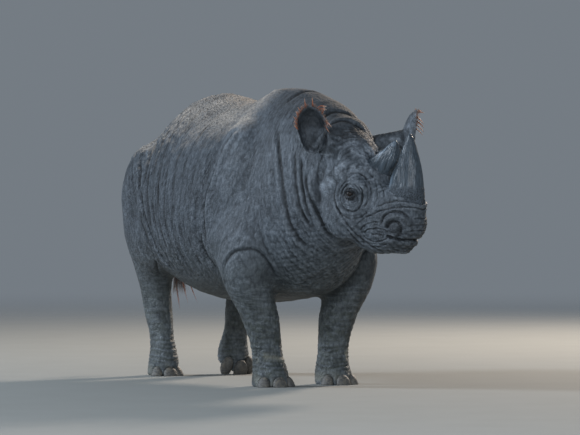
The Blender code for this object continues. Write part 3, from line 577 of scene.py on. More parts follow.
def aslant(vectors):
    """Across and up that plane, and towards it, of directions or of places from between the eyes."""
    own = vectors @ LEVEL_TURN
    side = np.abs(own[:, 1])
    across = math.sin(ASIDE) * own[:, 0] - math.cos(ASIDE) * side
    return across, own[:, 2], side


def aslant_places(points):
    across, up, _ = aslant(points - np.array(EYES_MIDDLE))
    return np.stack([across, up], axis=1) * 1000


def aslant_facing(points, normals):
    """How squarely the skin faces the plane, on its own side of the head."""
    own = normals @ LEVEL_TURN
    side = np.sign((points - np.array(EYES_MIDDLE)) @ LEVEL_TURN[:, 1])
    return math.cos(ASIDE) * own[:, 0] + math.sin(ASIDE) * own[:, 1] * side


def gap_to(spots, corners, width):
    """Distance from each spot to a smooth line, offset to its left, and share of its length."""
    line = smooth_path(corners, 0.6 * width)
    along = np.gradient(line, axis=0)
    along /= np.linalg.norm(along, axis=1)[:, None] + 1e-9
    gap, closest = nearest_on(line, spots)
    away = spots - line[closest]
    offset = along[closest, 0] * away[:, 1] - along[closest, 1] * away[:, 0]
    return gap, offset, closest / (len(line) - 1)


def bow(start, stop, lift):
    """A shallow curve between two places, lifted at its middle to its left."""
    start, stop = np.array(start, float), np.array(stop, float)
    along = stop - start
    aside = np.array([-along[1], along[0]]) / np.linalg.norm(along)
    return [start + along * share + aside * lift * 4 * share * (1 - share) for share in np.linspace(0, 1, 6)]


def arc(centre, radii, start, stop):
    """A stretch of an ellipse, its angles in degrees, anticlockwise from the nose's side."""
    angles = np.radians(np.linspace(start, stop, 3 + int(abs(stop - start) / 30)))
    return [np.array(centre) + np.array(radii) * (math.cos(angle), math.sin(angle)) for angle in angles]


# The wrinkles, in mm: path, half width, depth, swelling beside it, and the side that swells, where 1 is the
# path's left.
EYE_SPOT, MOUTH_CORNER, NOSTRIL = (-90, -10), (35, -205), (120, -175)
FACE_LINES = [
    # across the muzzle below the horn
    (bow((20, -70), (305, -65), 35), 4.5, 6.0, 2.0, -1),
    (bow((-20, -120), (310, -90), 40), 4.5, 5.5, 2.0, -1),
    (bow((85, -5), (305, -25), 5), 4.0, 3.5, 1.0, -1),
    # over the nostril's wing, and level before it
    (arc((135, -165), (80, 80), 180, 30), 4.5, 7.0, 3.0, 1),
    (bow((215, -120), (315, -120), 0), 4.0, 4.5, 1.0, 1),
    # the lower lip and the chin
    (bow((105, -270), (255, -265), -20), 4.0, 4.0, 1.5, 1),
    (bow((45, -290), (220, -305), -15), 4.0, 3.0, 1.0, 1),
    # round the front of the cheek, from below the eye to the chin
    (bow((-180, -20), (95, -305), -45), 4.5, 6.0, 2.0, -1),
    (bow((-125, -155), (0, -285), -10), 4.0, 3.0, 1.0, -1),
    # behind the temple and below the ear
    (bow((-215, 230), (-260, 60), -15), 5.0, 4.5, 1.5, -1),
    (bow((-185, 220), (-220, 110), -5), 4.5, 3.0, 1.0, -1),
]
# level pleats of the upper lip before the nostril: height, length and depth
for up, length, depth in ((-157, 120, 5.0), (-186, 110, 4.5), (-207, 95, 3.0)):
    FACE_LINES.append((bow((185, up), (185 + length, up), 3), 3.5, depth, 1.0, 1))
# round the corner of the mouth, one outside another: radii, from which angle to which, depth and swelling
MOUTH_RINGS = (
    ((60, 34), 180, 0, 5.5, 2.0),
    ((60, 34), 180, 360, 5.5, 2.0),
    ((84, 65), 170, 75, 4.0, 1.0),
    ((84, 60), 190, 325, 4.0, 1.0),
    ((114, 100), 165, 85, 3.5, 1.0),
)
FACE_LINES.append((bow((5, -205), (70, -208), 5), 3.5, 6.0, 0.0, 1))
for radii, start, stop, depth, swell in MOUTH_RINGS:
    FACE_LINES.append((arc(MOUTH_CORNER, radii, start, stop), 3.5, depth, swell, 1 if start > stop else -1))
# round the eye: off its middle, radii, angles, half width, depth, swelling
EYE_ARCS = (
    ((0, 0), (57, 78), -155, 50, 4.5, 6.5, 2.0),  # the pouch below
    ((0, 0), (36, 37), 170, 15, 3.5, 4.5, 1.5),  # the lid's crease
    ((0, 0), (50, 60), 185, 20, 3.5, 4.0, 1.5),
    ((0, 0), (60, 80), 180, 65, 3.5, 3.0, 1.0),
    ((0, 10), (84, 105), 45, -45, 4.0, 3.5, 1.0),
    ((0, -5), (40, 46), -160, -25, 3.0, 2.0, 1.0),
    ((5, -20), (68, 80), -125, -45, 3.5, 3.0, 1.5),
    ((10, 0), (95, 115), 135, 330, 4.5, 5.0, 1.5),  # the outer pouch
    ((15, 15), (87, 103), 120, -15, 4.0, 4.5, 1.5),  # the brow
    ((20, 15), (111, 132), 140, -30, 4.0, 3.5, 1.0),
    ((50, 0), (115, 110), 42, -5, 4.0, 3.5, 1.0),
    ((15, 15), (82, 82), -58, 5, 3.5, 3.0, 0.5),
)
for off, radii, start, stop, width, depth, swell in EYE_ARCS:
    FACE_LINES.append((arc(np.add(EYE_SPOT, off), radii, start, stop), width, depth, swell, 1))
NOSTRIL_HOOK = arc(NOSTRIL, (37, 38), 160, -50)
NOSTRIL_WING = arc(np.add(NOSTRIL, (17, 7)), (64, 60), 160, -15)
LIP_LINE = bow((90, -213), (320, -205), -22)
points, normals = places(hide.data), facings(hide.data)
along, outward, _ = face_places(points).T
ahead = np.where((along > -0.30) & (np.abs(outward) < 0.30))[0]
before, facing = points[ahead], normals[ahead]
flat, beside = aslant_places(before), aslant(before - np.array(EYES_MIDDLE))[2]
flat = flat + np.stack([cloud(before, 0.024, 32), cloud(before, 0.024, 33)], axis=1) * 3.0
cover = rise(aslant_facing(before, facing), 0.05, 0.40)
move, crease = np.zeros(len(ahead)), np.zeros(len(ahead))
for corners, width, depth, swell, lip in FACE_LINES:
    low, high = np.min(corners, axis=0) - 6 * width, np.max(corners, axis=0) + 6 * width
    near = np.where(((flat > low) & (flat < high)).all(axis=1))[0]
    gap, offset, share = gap_to(flat[near], corners, width)
    strength = between(share, -0.02, 0.15, 0.85, 1.02) * cover[near]
    width = width * (1.0 + 0.35 * cloud(before[near], 0.035, 41))
    pressed = np.exp(-(gap / width) ** 2) * strength * (0.78 + 0.35 * cloud(before[near], 0.045, 43))
    raised = np.exp(-((offset * lip - 2.0 * width) / (1.4 * width)) ** 2 - (gap / (4 * width)) ** 4)
    raised = raised * strength * rise(beside[near], 0.006, 0.030)
    move[near] += swell * raised - depth * pressed
    crease[near] = np.maximum(crease[near], pressed * min(1.0, depth / 5.0))
# the nostril: a wide pit, deepest along its upper and front edge, under a thick wing
gap, _, _ = gap_to(flat, NOSTRIL_WING, 8.0)
move += 6.5 * np.exp(-(gap / 12.0) ** 2) * cover
pit = np.hypot(flat[:, 0] - NOSTRIL[0], flat[:, 1] - NOSTRIL[1] + 4) / 33
inside = 1 - rise(pit, 0.55, 1.05)
gap, _, _ = gap_to(flat, NOSTRIL_HOOK, 6.0)
hook = np.exp(-(gap / 12.0) ** 2)
move -= (9.0 * inside + 12.0 * hook) * cover
crease = np.maximum(crease, np.maximum(hook, 0.65 * inside) * cover)
# the mouth, and the bulge of the lip under it
gap, offset, _ = gap_to(flat, LIP_LINE, 6.0)
move -= 11.0 * np.exp(-(gap / 5.0) ** 2) * cover
move += 4.0 * np.exp(-((offset + 26) / 16) ** 2 - (gap / 60) ** 4) * cover
crease = np.maximum(crease, np.exp(-(gap / 5.0) ** 2) * cover)
# the pouch inside the rings at the corner of the mouth
off = (flat - MOUTH_CORNER) / (26, 16)
move += 3.5 * np.exp(-off[:, 0] ** 2 - off[:, 1] ** 2) * cover
points[ahead] += facing * (move * 0.001)[:, None]
place(hide.data, points)
whole = np.zeros(len(points))
whole[ahead] = crease
creased(hide, whole)

# Between the named wrinkles: pleats on the chin, short lines on the brow, a net on temple and cheek.
points, normals = places(hide.data), facings(hide.data)
on_face = face_places(points)
x, _, z = points.T
along, outward, up = on_face.T
aside = np.abs(outward)
move = np.zeros(len(points))
chin = rise(along, 0.10, 0.16) * (1 - rise(up, -0.135, -0.105)) * rise(up, -0.29, -0.24)
pleats = up - 0.45 * along + 0.006 * cloud(points, 0.05, 34)
move += chin * 0.0022 * (grooves(pleats, 0.019) - 0.6)
# the hook of the upper lip
tip = np.exp(-(((on_face - np.array([0.395, 0, -0.018])) / np.array([0.030, 0.038, 0.024])) ** 2).sum(axis=1))
move += 0.006 * tip
brow = rise(up, 0.05, 0.09) * rise(along, -0.28, -0.22) * (1 - rise(along, 0.12, 0.18))
brow *= 1 - rise(aside, 0.13, 0.17)
furrowed = grooves(along + 0.55 * aside + 0.012 * cloud(points, 0.06, 35), 0.021)
uneven = cloud(points, 0.05, 36)
move += brow * 0.0085 * (furrowed - 0.6) * (0.55 + 0.45 * uneven)
move += brow * 0.0030 * cloud(points, 0.016, 42)
creased(hide, brow * (1 - furrowed) * (0.5 + 0.4 * uneven))
side_of_face = rise(aside, 0.07, 0.12) * rise(along, -0.30, -0.2)
net = grooves(z * 0.5 + x + 0.008 * cloud(points, 0.04, 37), 0.017) * 0.5
net += grooves(z - x * 0.4 + 0.008 * cloud(points, 0.04, 38), 0.021) * 0.5
move += side_of_face * 0.0014 * (net - 0.6) * (1 - rise(along, 0.16, 0.2))
ripples = grooves(z + 0.010 * cloud(points, 0.05, 39), 0.0125)
move += rise(along, 0.12, 0.20) * 0.0014 * (ripples - 0.6) * (0.6 + 0.4 * cloud(points, 0.04, 40))
points += normals * move[:, None]
place(hide.data, points)

# Folds of the face, on its right and mirrored: along, out, up in the face's own axes.
FACE_FOLDS = (
    # the jaw's rear edge, from below the ear to the throat
    (((-0.30, -0.16, 0.00), (-0.27, -0.17, -0.08), (-0.18, -0.15, -0.17), (-0.06, -0.07, -0.30)),
     0.011, 0.010, 0.005, 1),
    # below the ear
    (((-0.28, -0.15, 0.22), (-0.23, -0.18, 0.15), (-0.26, -0.18, 0.08)), 0.008, 0.006, 0.002, 1),
)
press_folds(hide, [(*fold, FADE, True) for fold in FACE_FOLDS], face=True)
points = places(hide.data)
points[:, 2] = np.maximum(points[:, 2], 0.0)
place(hide.data, points)

# The finished skin keeps small faces on the head and larger ones on the body.
coarse = 1 - 0.72 * rise(face_places(points)[:, 0], -0.34, -0.22)
coarse = np.minimum(coarse, 0.10 + rise(eye_gap(points), 0.05, 0.10))
group = hide.vertex_groups.new(name="coarse")
levels = np.round(coarse * 20) / 20
for value in np.unique(levels):
    group.add(np.where(levels == value)[0].tolist(), float(value), "REPLACE")
triangles = sum(len(face.vertices) - 2 for face in hide.data.polygons)
fewer = hide.modifiers.new("fewer", "DECIMATE")
fewer.ratio = min(1.0, HIDE_TRIANGLES / triangles)
fewer.vertex_group = "coarse"
fewer.vertex_group_factor = 0.00012
alone(hide)
state = bpy.context.evaluated_depsgraph_get()
thinned = bpy.data.meshes.new_from_object(
    hide.evaluated_get(state), preserve_all_data_layers=True, depsgraph=state)
hide.modifiers.clear()
hide.data = thinned
hide.vertex_groups.clear()
hide.data.name = "hide"
alone(hide)
bpy.ops.object.shade_smooth()


# What the hide's colour follows: painted shade in hollows, dust and a painted highlight on the back and brow,
# mud on the ankles, and painted shade round the eyes, on the muzzle and the nape, and in the ears' hollows.
def save_value(piece, name, values):
    """Saves a value from 0 to 1 of each vertex, for the finish to read."""
    layer = piece.data.attributes.new(name, "FLOAT", "POINT")
    layer.data.foreach_set("value", np.clip(values, 0, 1).astype(np.float32))


points, normals = places(hide.data), facings(hide.data)
x, y, z = points.T
along, _, up = face_places(points).T
ends, starts, counts = links = links_of(hide.data)
hollow = ((np.add.reduceat(points[ends], starts) / counts - points) * normals).sum(axis=1)
spans = np.linalg.norm(points[ends] - np.repeat(points, counts[:, 0], axis=0), axis=1)
hollow /= np.add.reduceat(spans, starts) / counts[:, 0]
save_value(hide, "hollow", 0.5 + 3.0 * evened_out(hollow[:, None], links, 2, 0.6)[:, 0])
# dust on the back, and a painted highlight on the top of the back and on the crest
dust_and_highlight = 1.1 * rise(normals[:, 2], 0.46, 0.84) * rise(z, 1.00, 1.30) * (1 - rise(x, 0.20, 0.42))
dust_and_highlight *= 0.75 + 0.4 * cloud(points, 0.12, 51)
crest = rise(normals[:, 2], 0.45, 0.9) * rise(z, 1.15, 1.35) * rise(x, 0.3, 0.5) * 0.12
save_value(hide, "dust_and_highlight", np.maximum(dust_and_highlight, crest))
# Head patches, rubbed pale and partly a painted highlight: across and up the slanting plane and size, in mm,
# and strength.
PATCHES = (
    (-230, 40, 20, 0.75), (-200, 60, 22, 0.75), (-215, 0, 18, 0.45),  # behind the eye
    (-85, 105, 24, 0.45), (-90, -110, 13, 0.50), (-120, 170, 22, 0.40),  # over and under it
    (20, 195, 18, 1.00), (105, 30, 11, 0.60), (-20, 160, 26, 0.40),  # beside the horns
    (-60, 220, 40, 0.35), (-100, 250, 22, 0.30), (-60, 250, 20, 0.55),  # on the crown
    (-35, 215, 14, 0.60), (-85, 215, 12, 0.50), (-160, -270, 14, 0.20),  # there, and on the jaw
)
flat = aslant_places(points)
rubbed_and_highlight = np.zeros(len(points))
for across, high, size, amount in PATCHES:
    gap = np.hypot(flat[:, 0] - across, flat[:, 1] - high) + 12 * cloud(points, 0.03, 52)
    patch = amount * (1 - rise(gap, 0.3 * size, 1.4 * size))
    rubbed_and_highlight = np.maximum(rubbed_and_highlight, patch * (0.7 + 0.6 * cloud(points, 0.018, 53)))
# and those on the crown's left, which are not mirrored: a painted highlight over rubbed skin
LEFT_PATCHES = ((20, 195, 22, 1.0), (0, 225, 18, 0.9), (20, 170, 16, 0.8), (-15, 245, 14, 0.6),
                (-30, 200, 16, 0.6))
own = (points - np.array(EYES_MIDDLE)) @ LEVEL_TURN
rightward = 1000 * (math.sin(ASIDE) * own[:, 0] + math.cos(ASIDE) * own[:, 1])
for across, high, size, amount in LEFT_PATCHES:
    gap = np.hypot(rightward - across, 1000 * own[:, 2] - high) + 10 * cloud(points, 0.03, 52)
    patch = amount * (1 - rise(gap, 0.4 * size, 1.3 * size)) * (0.8 + 0.5 * cloud(points, 0.018, 53))
    rubbed_and_highlight = np.maximum(rubbed_and_highlight, patch * (own[:, 1] > -0.09) * (up > 0.05) * (along < 0.1))
# scattered pale specks on the brow
specks = rise(cloud(points, 0.020, 57), 0.25, 0.75) * rise(up, 0.03, 0.08) * rise(along, -0.30, -0.2)
rubbed_and_highlight = np.maximum(rubbed_and_highlight, 0.6 * specks * (1 - rise(along, 0.05, 0.12)))
squarely = rise(aslant_facing(points, normals), -0.4, 0.1) * rise(along, -0.34, -0.26)
save_value(hide, "rubbed_and_highlight", 1.35 * rubbed_and_highlight * np.maximum(squarely, own[:, 1] > -0.02))
# how deeply the skin is pebbled: most on the flank, the rump and the back
rugged = 0.45 + 0.75 * rise(z, 0.45, 0.70) * (1 - rise(x, 0.05, 0.35)) + 0.20 * rise(along, -0.3, -0.2)
save_value(hide, "rugged", rugged * 0.8)
# the way that the fine furrows run: down the ribs and the neck, and round the legs
run = rib_lines(points)
neck = rise(x, 0.40, 0.60)
run = run * (1 - neck) + (x + 0.16 * z) * neck
leg = 1 - rise(z, 0.40, 0.60)
run = run * (1 - leg) + z * leg
slow = np.stack([run, 0.32 * y, 0.32 * (z * (1 - leg) + x * leg)], axis=1)
layer = hide.data.attributes.new("furrows", "FLOAT_VECTOR", "POINT")
layer.data.foreach_set("vector", slow.astype(np.float32).ravel())
ankle = np.exp(-((z - 0.150 + 0.02 * cloud(points, 0.06, 54)) / 0.018) ** 2)
ankle *= rise(cloud(points, 0.035, 55), 0.1, 0.6) * (x > 0) * (normals[:, 0] > 0.2) * 0.8
sole = 0.5 * (1 - rise(z, 0.03, 0.09)) * rise(cloud(points, 0.04, 56), -0.2, 0.5)
save_value(hide, "mud", ankle + sole)
# painted shade, darkening the skin: on the front of the muzzle, on the nape, round the deep-set eyes and in
# the ears' hollows
painted_shade = 0.32 * rise(along, 0.14, 0.22) * (1 - rise(up, 0.02, 0.09)) * rise(up, -0.17, -0.12)
nape = rise(normals[:, 2], 0.20, 0.70) * rise(x, 0.32, 0.48) * rise(z, 1.10, 1.25)
nape *= 1 - rise(along, -0.20, -0.12)
painted_shade = np.maximum(painted_shade, 0.50 * nape)
painted_shade = np.maximum(painted_shade, 0.85 * (1 - rise(eye_gap(points), 0.033, 0.043)))
for side in SIDES:
    # the hollow of each ear is in its own shade
    foot, points_to, opens, across = (np.array(axis) for axis in ear_axes(side))
    own = points - foot
    tall, aside, out = own @ points_to / EAR_LENGTH[side], own @ across, own @ opens
    wide, _ = cup_at(tall)
    depth = -out - EAR_FLATNESS[side] * np.sqrt(np.maximum(wide ** 2 - aside ** 2, 0))
    inside = (tall > 0.0) & (tall < 1.0) & (np.abs(aside) < wide) & (depth < 0.001) & (out < 0.02)
    painted_shade = np.maximum(painted_shade, 0.40 * inside * (normals @ opens > 0.1))
save_value(hide, "painted_shade", painted_shade)
# dry skin is matt, most of all where dust lies; round the eyes, under the deepest painted shade, the lids are
# wet
matt = 0.45 + 0.40 * np.maximum(nape, rise(normals[:, 2], 0.3, 0.8) * rise(z, 1.0, 1.2))
save_value(hide, "matt", np.where(painted_shade > 0.6, 0.0, matt))


def shade(hex_colour):
    """The linear colour of an sRGB hex value."""
    parts = [int(hex_colour[i:i + 2], 16) / 255 for i in (1, 3, 5)]
    return (*(part / 12.92 if part <= 0.04045 else ((part + 0.055) / 1.055) ** 2.4 for part in parts), 1.0)


def new_finish(name):
    finish = bpy.data.materials.new(name)
    finish.use_nodes = True
    finish.node_tree.nodes.clear()
    return finish


def add_node(finish, kind, settings=None, inputs=None, links=None):
    """Adds a node: settings are its own properties, inputs its sockets' values, links what feeds them."""
    node = finish.node_tree.nodes.new(f"ShaderNode{kind}")
    for name, value in (settings or {}).items():
        setattr(node, name, value)
    for name, value in (inputs or {}).items():
        node.inputs[name].default_value = value
    for name, source in (links or {}).items():
        finish.node_tree.links.new(source, node.inputs[name])
    return node


# Rhinoceros skin, dry: slate grey, browner below, a little paler on the raised backs of its wrinkles, painted
# shade in the creases and hollows. Its pebbles are 8 to 15 mm, drawn out downwards, and a light coat of dust
# makes it matt.
skin_finish = new_finish("dry_rhinoceros_hide")
where = add_node(skin_finish, "TexCoord").outputs["Object"]
height = add_node(skin_finish, "SeparateXYZ", links={"Vector": where}).outputs["Z"]
marks = {mark: add_node(skin_finish, "Attribute", {"attribute_name": mark})
         for mark in ("hollow", "crease", "dust_and_highlight", "rubbed_and_highlight", "rugged", "mud", "painted_shade", "matt", "furrows")}
along_furrows = marks["furrows"].outputs["Vector"]
marks = {mark: node.outputs["Fac"] for mark, node in marks.items()}
# noises: size of a blot in metres, detail, roughness, and what they follow
NOISES = {
    "blotch": (0.21, 3.0, 0.5, where),
    "mottle": (0.045, 4.0, 0.6, where),
    "grain": (0.012, 4.0, 0.65, where),
    "warp": (0.030, 2.0, 0.5, where),
    "furrow": (0.024, 3.0, 0.60, along_furrows),
}
noises = {}
for name, (size, detail, roughness, follows) in NOISES.items():
    spread = {"Scale": 1 / size, "Detail": detail, "Roughness": roughness}
    noises[name] = add_node(skin_finish, "TexNoise", inputs=spread, links={"Vector": follows}).outputs
mottle, grain, furrow = (noises[name]["Fac"] for name in ("mottle", "grain", "furrow"))
warped = add_node(skin_finish, "Mix", {"data_type": "VECTOR"}, {"Factor": 0.016},
                  {"A": where, "B": noises["warp"]["Color"]}).outputs["Result"]
narrow = add_node(skin_finish, "Mapping", inputs={"Scale": (1.0, 1.0, 0.55)},
                  links={"Vector": warped}).outputs["Vector"]
pebble = add_node(skin_finish, "TexVoronoi", {"feature": "SMOOTH_F1"},
                  {"Scale": 1 / 0.0135, "Randomness": 1.0, "Smoothness": 0.25},
                  {"Vector": narrow}).outputs["Distance"]
small = add_node(skin_finish, "TexVoronoi", {"feature": "F1"}, {"Scale": 1 / 0.0062, "Randomness": 1.0},
                 {"Vector": warped}).outputs["Distance"]
ground = add_node(skin_finish, "ValToRGB", links={"Fac": noises["blotch"]["Fac"]})
for stop, (spot, colour) in zip(ground.color_ramp.elements, ((0.30, "#4d545b"), (0.72, "#626b74"))):
    stop.position, stop.color = spot, shade(colour)
base = ground.outputs["Color"]
# what lies over the ground colour: value, where it begins and is full, how strong it gets, and its colour
COATS = (
    (height, 0.80, 0.30, 0.90, "#4f544e"),  # browner towards the feet
    (mottle, 0.52, 0.72, 0.30, "#7b848d"),
    (mottle, 0.48, 0.30, 0.35, "#3a4046"),
    # painted shade in the grooves of the fine furrows, and their backs paler
    (furrow, 0.50, 0.38, 0.45, "#282e34"),
    (furrow, 0.54, 0.68, 0.30, "#8f98a2"),
    (marks["hollow"], 0.52, 0.80, 0.80, "#1b2025"),  # painted shade in hollows, and the raised backs paler
    (marks["hollow"], 0.46, 0.20, 0.60, "#7d858d"),
    # painted shade in the cracks between the pebbles
    (pebble, 0.40, 0.80, 0.50, "#23292f"),
    # painted shade in the creases of folds and wrinkles
    (marks["crease"], 0.15, 1.00, 0.85, "#15191d"),
)
for value, begins, full, strength, colour in COATS:
    spans = {"From Min": begins, "From Max": full, "To Max": strength}
    amount = add_node(skin_finish, "MapRange", inputs=spans, links={"Value": value}).outputs["Result"]
    base = add_node(skin_finish, "Mix", {"data_type": "RGBA"}, {"B": shade(colour)},
                    {"Factor": amount, "A": base}).outputs["Result"]
# dust and rubbed skin, each partly a painted highlight, lie in flecks; mud and the painted shade lie evenly
patchy = add_node(skin_finish, "MapRange", inputs={"From Min": 0.30, "From Max": 0.60, "To Min": 0.15},
                  links={"Value": grain}).outputs["Result"]
for mark, colour in (("dust_and_highlight", "#cdc1b4"), ("rubbed_and_highlight", "#a3adb8"), ("mud", "#8f8f84"), ("painted_shade", "#14171b")):
    amount = marks[mark]
    if mark in ("dust_and_highlight", "rubbed_and_highlight"):
        amount = add_node(skin_finish, "Math", {"operation": "MULTIPLY"},
                          links={0: amount, 1: patchy}).outputs["Value"]
    base = add_node(skin_finish, "Mix", {"data_type": "RGBA"}, {"B": shade(colour)},
                    {"Factor": amount, "A": base}).outputs["Result"]
# relief: pebbles, small ones on them, grain and furrows, each value with its share
relief = pebble
for value, share in ((small, 0.40), (grain, -0.9), (furrow, -1.8)):
    relief = add_node(skin_finish, "Math", {"operation": "MULTIPLY_ADD"}, {1: share},
                      {0: value, 2: relief}).outputs["Value"]
bump = add_node(skin_finish, "Bump", {"invert": True}, {"Distance": 0.0130},
                {"Height": relief, "Strength": marks["rugged"]}).outputs["Normal"]
rough = add_node(skin_finish, "MapRange", inputs={"To Min": 0.36, "To Max": 0.86},
                 links={"Value": marks["matt"]}).outputs["Result"]
shader = add_node(skin_finish, "BsdfPrincipled", inputs={"IOR": 1.45},
                  links={"Base Color": base, "Roughness": rough, "Normal": bump})
add_node(skin_finish, "OutputMaterial", links={"Surface": shader.outputs["BSDF"]})
hide.data.materials.clear()
hide.data.materials.append(skin_finish)
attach(hide, "root")
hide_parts(*BODY_PARTS, "ear_left", "ear_right")

# ---- The eyes -----------------------------------------------------------------------------------------
# A rhinoceros's eye is small and brown, with a level oval pupil, and always wet. It lies deep between heavy
# lids, so that only the iris and a little of the dark white beside it show.
IRIS_RADIUS, PUPIL_WIDE, PUPIL_TALL = 0.0125, 0.0062, 0.0042
LID_GAP = 0.0004  # air between the ball and its seat
CORNEA = 0.0014  # how far the clear front bulges
# A wet brown eye: the tear film gives it a small soft glint. The ramp runs from the pupil to the ball's side.
eye_finish = new_finish("wet_brown_eye")
where = add_node(eye_finish, "TexCoord").outputs["Object"]
ring = add_node(eye_finish, "Attribute", {"attribute_name": "iris"}).outputs["Fac"]
bands = add_node(eye_finish, "ValToRGB", links={"Fac": ring})
for spot, colour in ((0.30, "#050506"), (0.36, "#2e1d13"), (0.62, "#20140d"), (0.74, "#0d0806"),
                     (0.85, "#241c18")):
    bands.color_ramp.elements.new(spot).color = shade(colour)
bands.color_ramp.elements.remove(bands.color_ramp.elements[0])
bands.color_ramp.elements[-1].color = shade("#1c1716")
streaks = add_node(eye_finish, "TexNoise", inputs={"Scale": 900.0, "Detail": 2.0},
                   links={"Vector": where}).outputs["Fac"]
tint = add_node(eye_finish, "Mix", {"data_type": "RGBA", "blend_type": "MULTIPLY"}, {"Factor": 0.5},
                {"A": bands.outputs["Color"], "B": streaks}).outputs["Result"]
wet = {"Roughness": 0.40, "IOR": 1.38, "Coat Weight": 0.10, "Coat Roughness": 0.05}
shader = add_node(eye_finish, "BsdfPrincipled", inputs=wet, links={"Base Color": tint})
add_node(eye_finish, "OutputMaterial", links={"Surface": shader.outputs["BSDF"]})
for side in SIDES:
    bpy.ops.object.select_all(action="DESELECT")
    bpy.ops.mesh.primitive_uv_sphere_add(segments=64, ring_count=40, radius=EYE_RADIUS - LID_GAP)
    ball = bpy.context.object
    ball.name = ball.data.name = f"eyeball_{side}"
    points = places(ball.data)
    out = np.hypot(points[:, 0], points[:, 1])
    points[:, 2] += CORNEA * (1 - rise(out, 0.006, 0.0135)) * (points[:, 2] > 0)
    oval = np.hypot(points[:, 0] / PUPIL_WIDE, points[:, 1] / PUPIL_TALL)
    iris = np.where(oval < 1.1, 0.33 * oval, np.maximum(0.36, out / IRIS_RADIUS * 0.74))
    save_value(ball, "iris", np.where(points[:, 2] > 0, iris, 1.0))
    looks, _, level = eye_axes(side)
    turn = np.array([level, looks.cross(level), looks]).T
    place(ball.data, points @ turn.T + np.array(EYE_AT[side]))
    bpy.ops.object.shade_smooth()
    ball.data.materials.append(eye_finish)
    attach(ball, "root")
    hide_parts(f"eye_{side}")

# ---- The horns ----------------------------------------------------------------------------------------
# Horn is packed keratin fibre, like hoof: streaked along its length, worn smooth and grey to the tip,
# frayed and rough where it grows out of the skin.
HORN_GRAIN = 0.0030
WORN_AT, WORN_REACH = (-0.072, 0.050, 0.086), (0.026, 0.026, 0.030)  # the front horn's rubbed patches
# Keratin horn, grown and worn: streaks of 4 to 5 mm along it, a soft sheen, pale where it is rubbed, with a
# painted highlight on the rear horn's flat sides, and a dull frayed collar at its root.
horn_finish = new_finish("worn_keratin_horn")
where = add_node(horn_finish, "TexCoord").outputs["Object"]
run = add_node(horn_finish, "Attribute", {"attribute_name": "fibre"}).outputs["Vector"]
low_part = add_node(horn_finish, "Attribute", {"attribute_name": "root"}).outputs["Fac"]
pale_wear_and_highlight = add_node(horn_finish, "Attribute", {"attribute_name": "wear_and_highlight"}).outputs["Fac"]
streak, band, rough_skin = (
    add_node(horn_finish, "TexNoise", inputs={"Scale": 1 / size, "Detail": detail, "Roughness": roughness},
             links={"Vector": follows}).outputs["Fac"]
    for size, detail, roughness, follows in
    ((0.0045, 3.0, 0.6, run), (0.018, 2.0, 0.5, run), (0.006, 5.0, 0.5, where)))
body = add_node(horn_finish, "ValToRGB", links={"Fac": streak})
for stop, (spot, colour) in zip(body.color_ramp.elements, ((0.32, "#2b3339"), (0.78, "#6b7985"))):
    stop.position, stop.color = spot, shade(colour)
tone, frayed = (
    add_node(horn_finish, "MapRange", inputs={"From Min": 0.35, "From Max": 0.65, "To Max": most},
             links={"Value": value}).outputs["Result"]
    for value, most in ((band, 0.45), (rough_skin, 1.0)))
tint = body.outputs["Color"]
# darker bands, then the pale of rubbed horn, on the rear horn's flat sides also a painted highlight
for colour, amount in (("#333d46", tone), ("#9fb6ca", pale_wear_and_highlight)):
    tint = add_node(horn_finish, "Mix", {"data_type": "RGBA"}, {"B": shade(colour)},
                    {"Factor": amount, "A": tint}).outputs["Result"]
collar = add_node(horn_finish, "Mix", {"data_type": "RGBA"}, {"A": shade("#23282d"), "B": shade("#56606a")},
                  {"Factor": frayed}).outputs["Result"]
tint = add_node(horn_finish, "Mix", {"data_type": "RGBA"},
                links={"Factor": low_part, "A": tint, "B": collar}).outputs["Result"]
sheen = add_node(horn_finish, "MapRange", inputs={"To Min": 0.38, "To Max": 0.75},
                 links={"Value": low_part}).outputs["Result"]
bump = add_node(horn_finish, "Bump", inputs={"Strength": 0.6, "Distance": 0.0012},
                links={"Height": streak}).outputs["Normal"]
bump = add_node(horn_finish, "Bump", inputs={"Strength": 0.5, "Distance": 0.0020},
                links={"Height": rough_skin, "Normal": bump}).outputs["Normal"]
shader = add_node(horn_finish, "BsdfPrincipled", inputs={"IOR": 1.54},
                  links={"Base Color": tint, "Roughness": sheen, "Normal": bump})
add_node(horn_finish, "OutputMaterial", links={"Surface": shader.outputs["BSDF"]})
